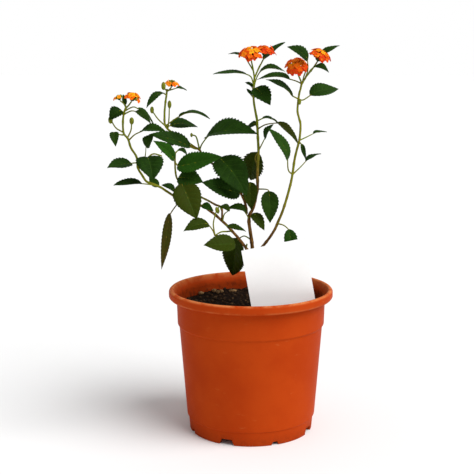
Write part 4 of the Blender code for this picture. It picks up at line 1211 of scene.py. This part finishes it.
class LANTANA_OT_pot(bpy.types.Operator):
    """Build the plastic pot"""
    bl_idname = "lantana.pot"
    bl_label = "Pot"

    def execute(self, context):
        radius, height, on_foot, dirt, wear = pot_profile()
        angle = pot_angles()
        height = np.where(on_foot, np.maximum(height, notch_lift(angle)), height)
        # wear: the pot's pale edge strip, worn plastic with a painted highlight.
        surface = Surface("dirt", "wear")
        surface.add(lathed(radius, height, angle), dirt=dirt, wear=wear)
        pot = surface.finished("moulded_pot", [pot_material(context.scene.lantana_pot)])
        drained(pot)
        pot.data.set_sharp_from_angle(angle=SHARP_ANGLE)
        placed(pot, "pot")
        return {"FINISHED"}


class LANTANA_OT_soil(bpy.types.Operator):
    """Build the potting soil with its crumbs and bark bits"""
    bl_idname = "lantana.soil"
    bl_label = "Soil"

    def execute(self, context):
        settings = context.scene.lantana_soil
        surface = Surface("tone")
        soil_body(surface)
        scatter_crumbs(surface, settings.crumbs)
        bark_bits(surface)
        soil = surface.finished("crumbly_soil", [soil_material(settings), chip_material(settings)])
        placed(soil, "potting_soil")
        return {"FINISHED"}


class LANTANA_OT_label(bpy.types.Operator):
    """Build the blank label"""
    bl_idname = "lantana.label"
    bl_label = "Label"

    def execute(self, context):
        settings = context.scene.lantana_label
        surface = Surface("low")
        card_body(surface, settings.thickness)
        card = surface.finished("blank_label", [card_material(settings)], merged=False)
        card.data.set_sharp_from_angle(angle=SHARP_ANGLE)
        placed(card, "plant_label")
        return {"FINISHED"}


class LANTANA_OT_foliage(bpy.types.Operator):
    """Build the stems with their leaves, stalks and buds"""
    bl_idname = "lantana.foliage"
    bl_label = "Leafy stems"

    def execute(self, context):
        settings = context.scene.lantana_foliage
        materials = [leaf_material(settings), stem_material(settings), closed_bud_material(settings)]
        for number, (name, stems) in enumerate(STEMS_OF.items()):
            surface = Surface("along", "across", "under", "age", "tone", "wood")
            for i, key in enumerate(stems):
                stem(surface, key, 3 * number + i)
            for i, (radius, points) in enumerate(STALKS[name]):
                stalk(surface, radius, points, i)
            for i, spec in enumerate(LEAVES[name]):
                leaf(surface, spec, 50 * number + i, settings)
            for i, spec in enumerate(BUDS[name]):
                bud(surface, spec, i)
            piece = surface.finished(f"stem_and_leaves_{name}", materials)
            placed(piece, f"leafy_stem_{name}")
        return {"FINISHED"}


class LANTANA_OT_flowers(bpy.types.Operator):
    """Build the flower heads"""
    bl_idname = "lantana.flowers"
    bl_label = "Flower heads"

    def execute(self, context):
        settings = context.scene.lantana_flowers
        foliage = context.scene.lantana_foliage
        materials = [petal_material(settings), closed_bud_material(foliage), bract_material(foliage)]
        for seed, (name, spec) in enumerate(HEADS.items()):
            surface = Surface("radial", "tone", "along")
            flower_head(surface, spec, seed, settings)
            piece = surface.finished(f"florets_{name}", materials)
            placed(piece, f"flower_head_{name}")
        return {"FINISHED"}


class LANTANA_PT_panel(bpy.types.Panel):
    """Lists the steps that build the lantana"""
    bl_idname = "LANTANA_PT_panel"
    bl_label = "Potted lantana"
    bl_space_type = "VIEW_3D"
    bl_region_type = "UI"
    bl_category = "Lantana"

    def draw(self, context):
        for kind in OPERATORS:
            self.layout.operator(kind.bl_idname)


OPERATORS = [LANTANA_OT_stage, LANTANA_OT_pot, LANTANA_OT_soil, LANTANA_OT_label, LANTANA_OT_foliage,
             LANTANA_OT_flowers]
SETTINGS = {
    "lantana_foliage": FoliageSettings, "lantana_flowers": FlowerSettings, "lantana_pot": PotSettings,
    "lantana_soil": SoilSettings, "lantana_label": LabelSettings, "lantana_stage": StageSettings,
}
CLASSES = [*SETTINGS.values(), *OPERATORS, LANTANA_PT_panel]


def register():
    for kind in CLASSES:
        bpy.utils.register_class(kind)
    for name, kind in SETTINGS.items():
        setattr(bpy.types.Scene, name, bpy.props.PointerProperty(type=kind))


def unregister():
    for name in SETTINGS:
        delattr(bpy.types.Scene, name)
    for kind in reversed(CLASSES):
        bpy.utils.unregister_class(kind)


def main():
    register()
    bpy.ops.lantana.stage()
    bpy.ops.lantana.pot()
    bpy.ops.lantana.soil()
    bpy.ops.lantana.label()
    bpy.ops.lantana.foliage()
    bpy.ops.lantana.flowers()


if __name__ == "__main__":
    main()
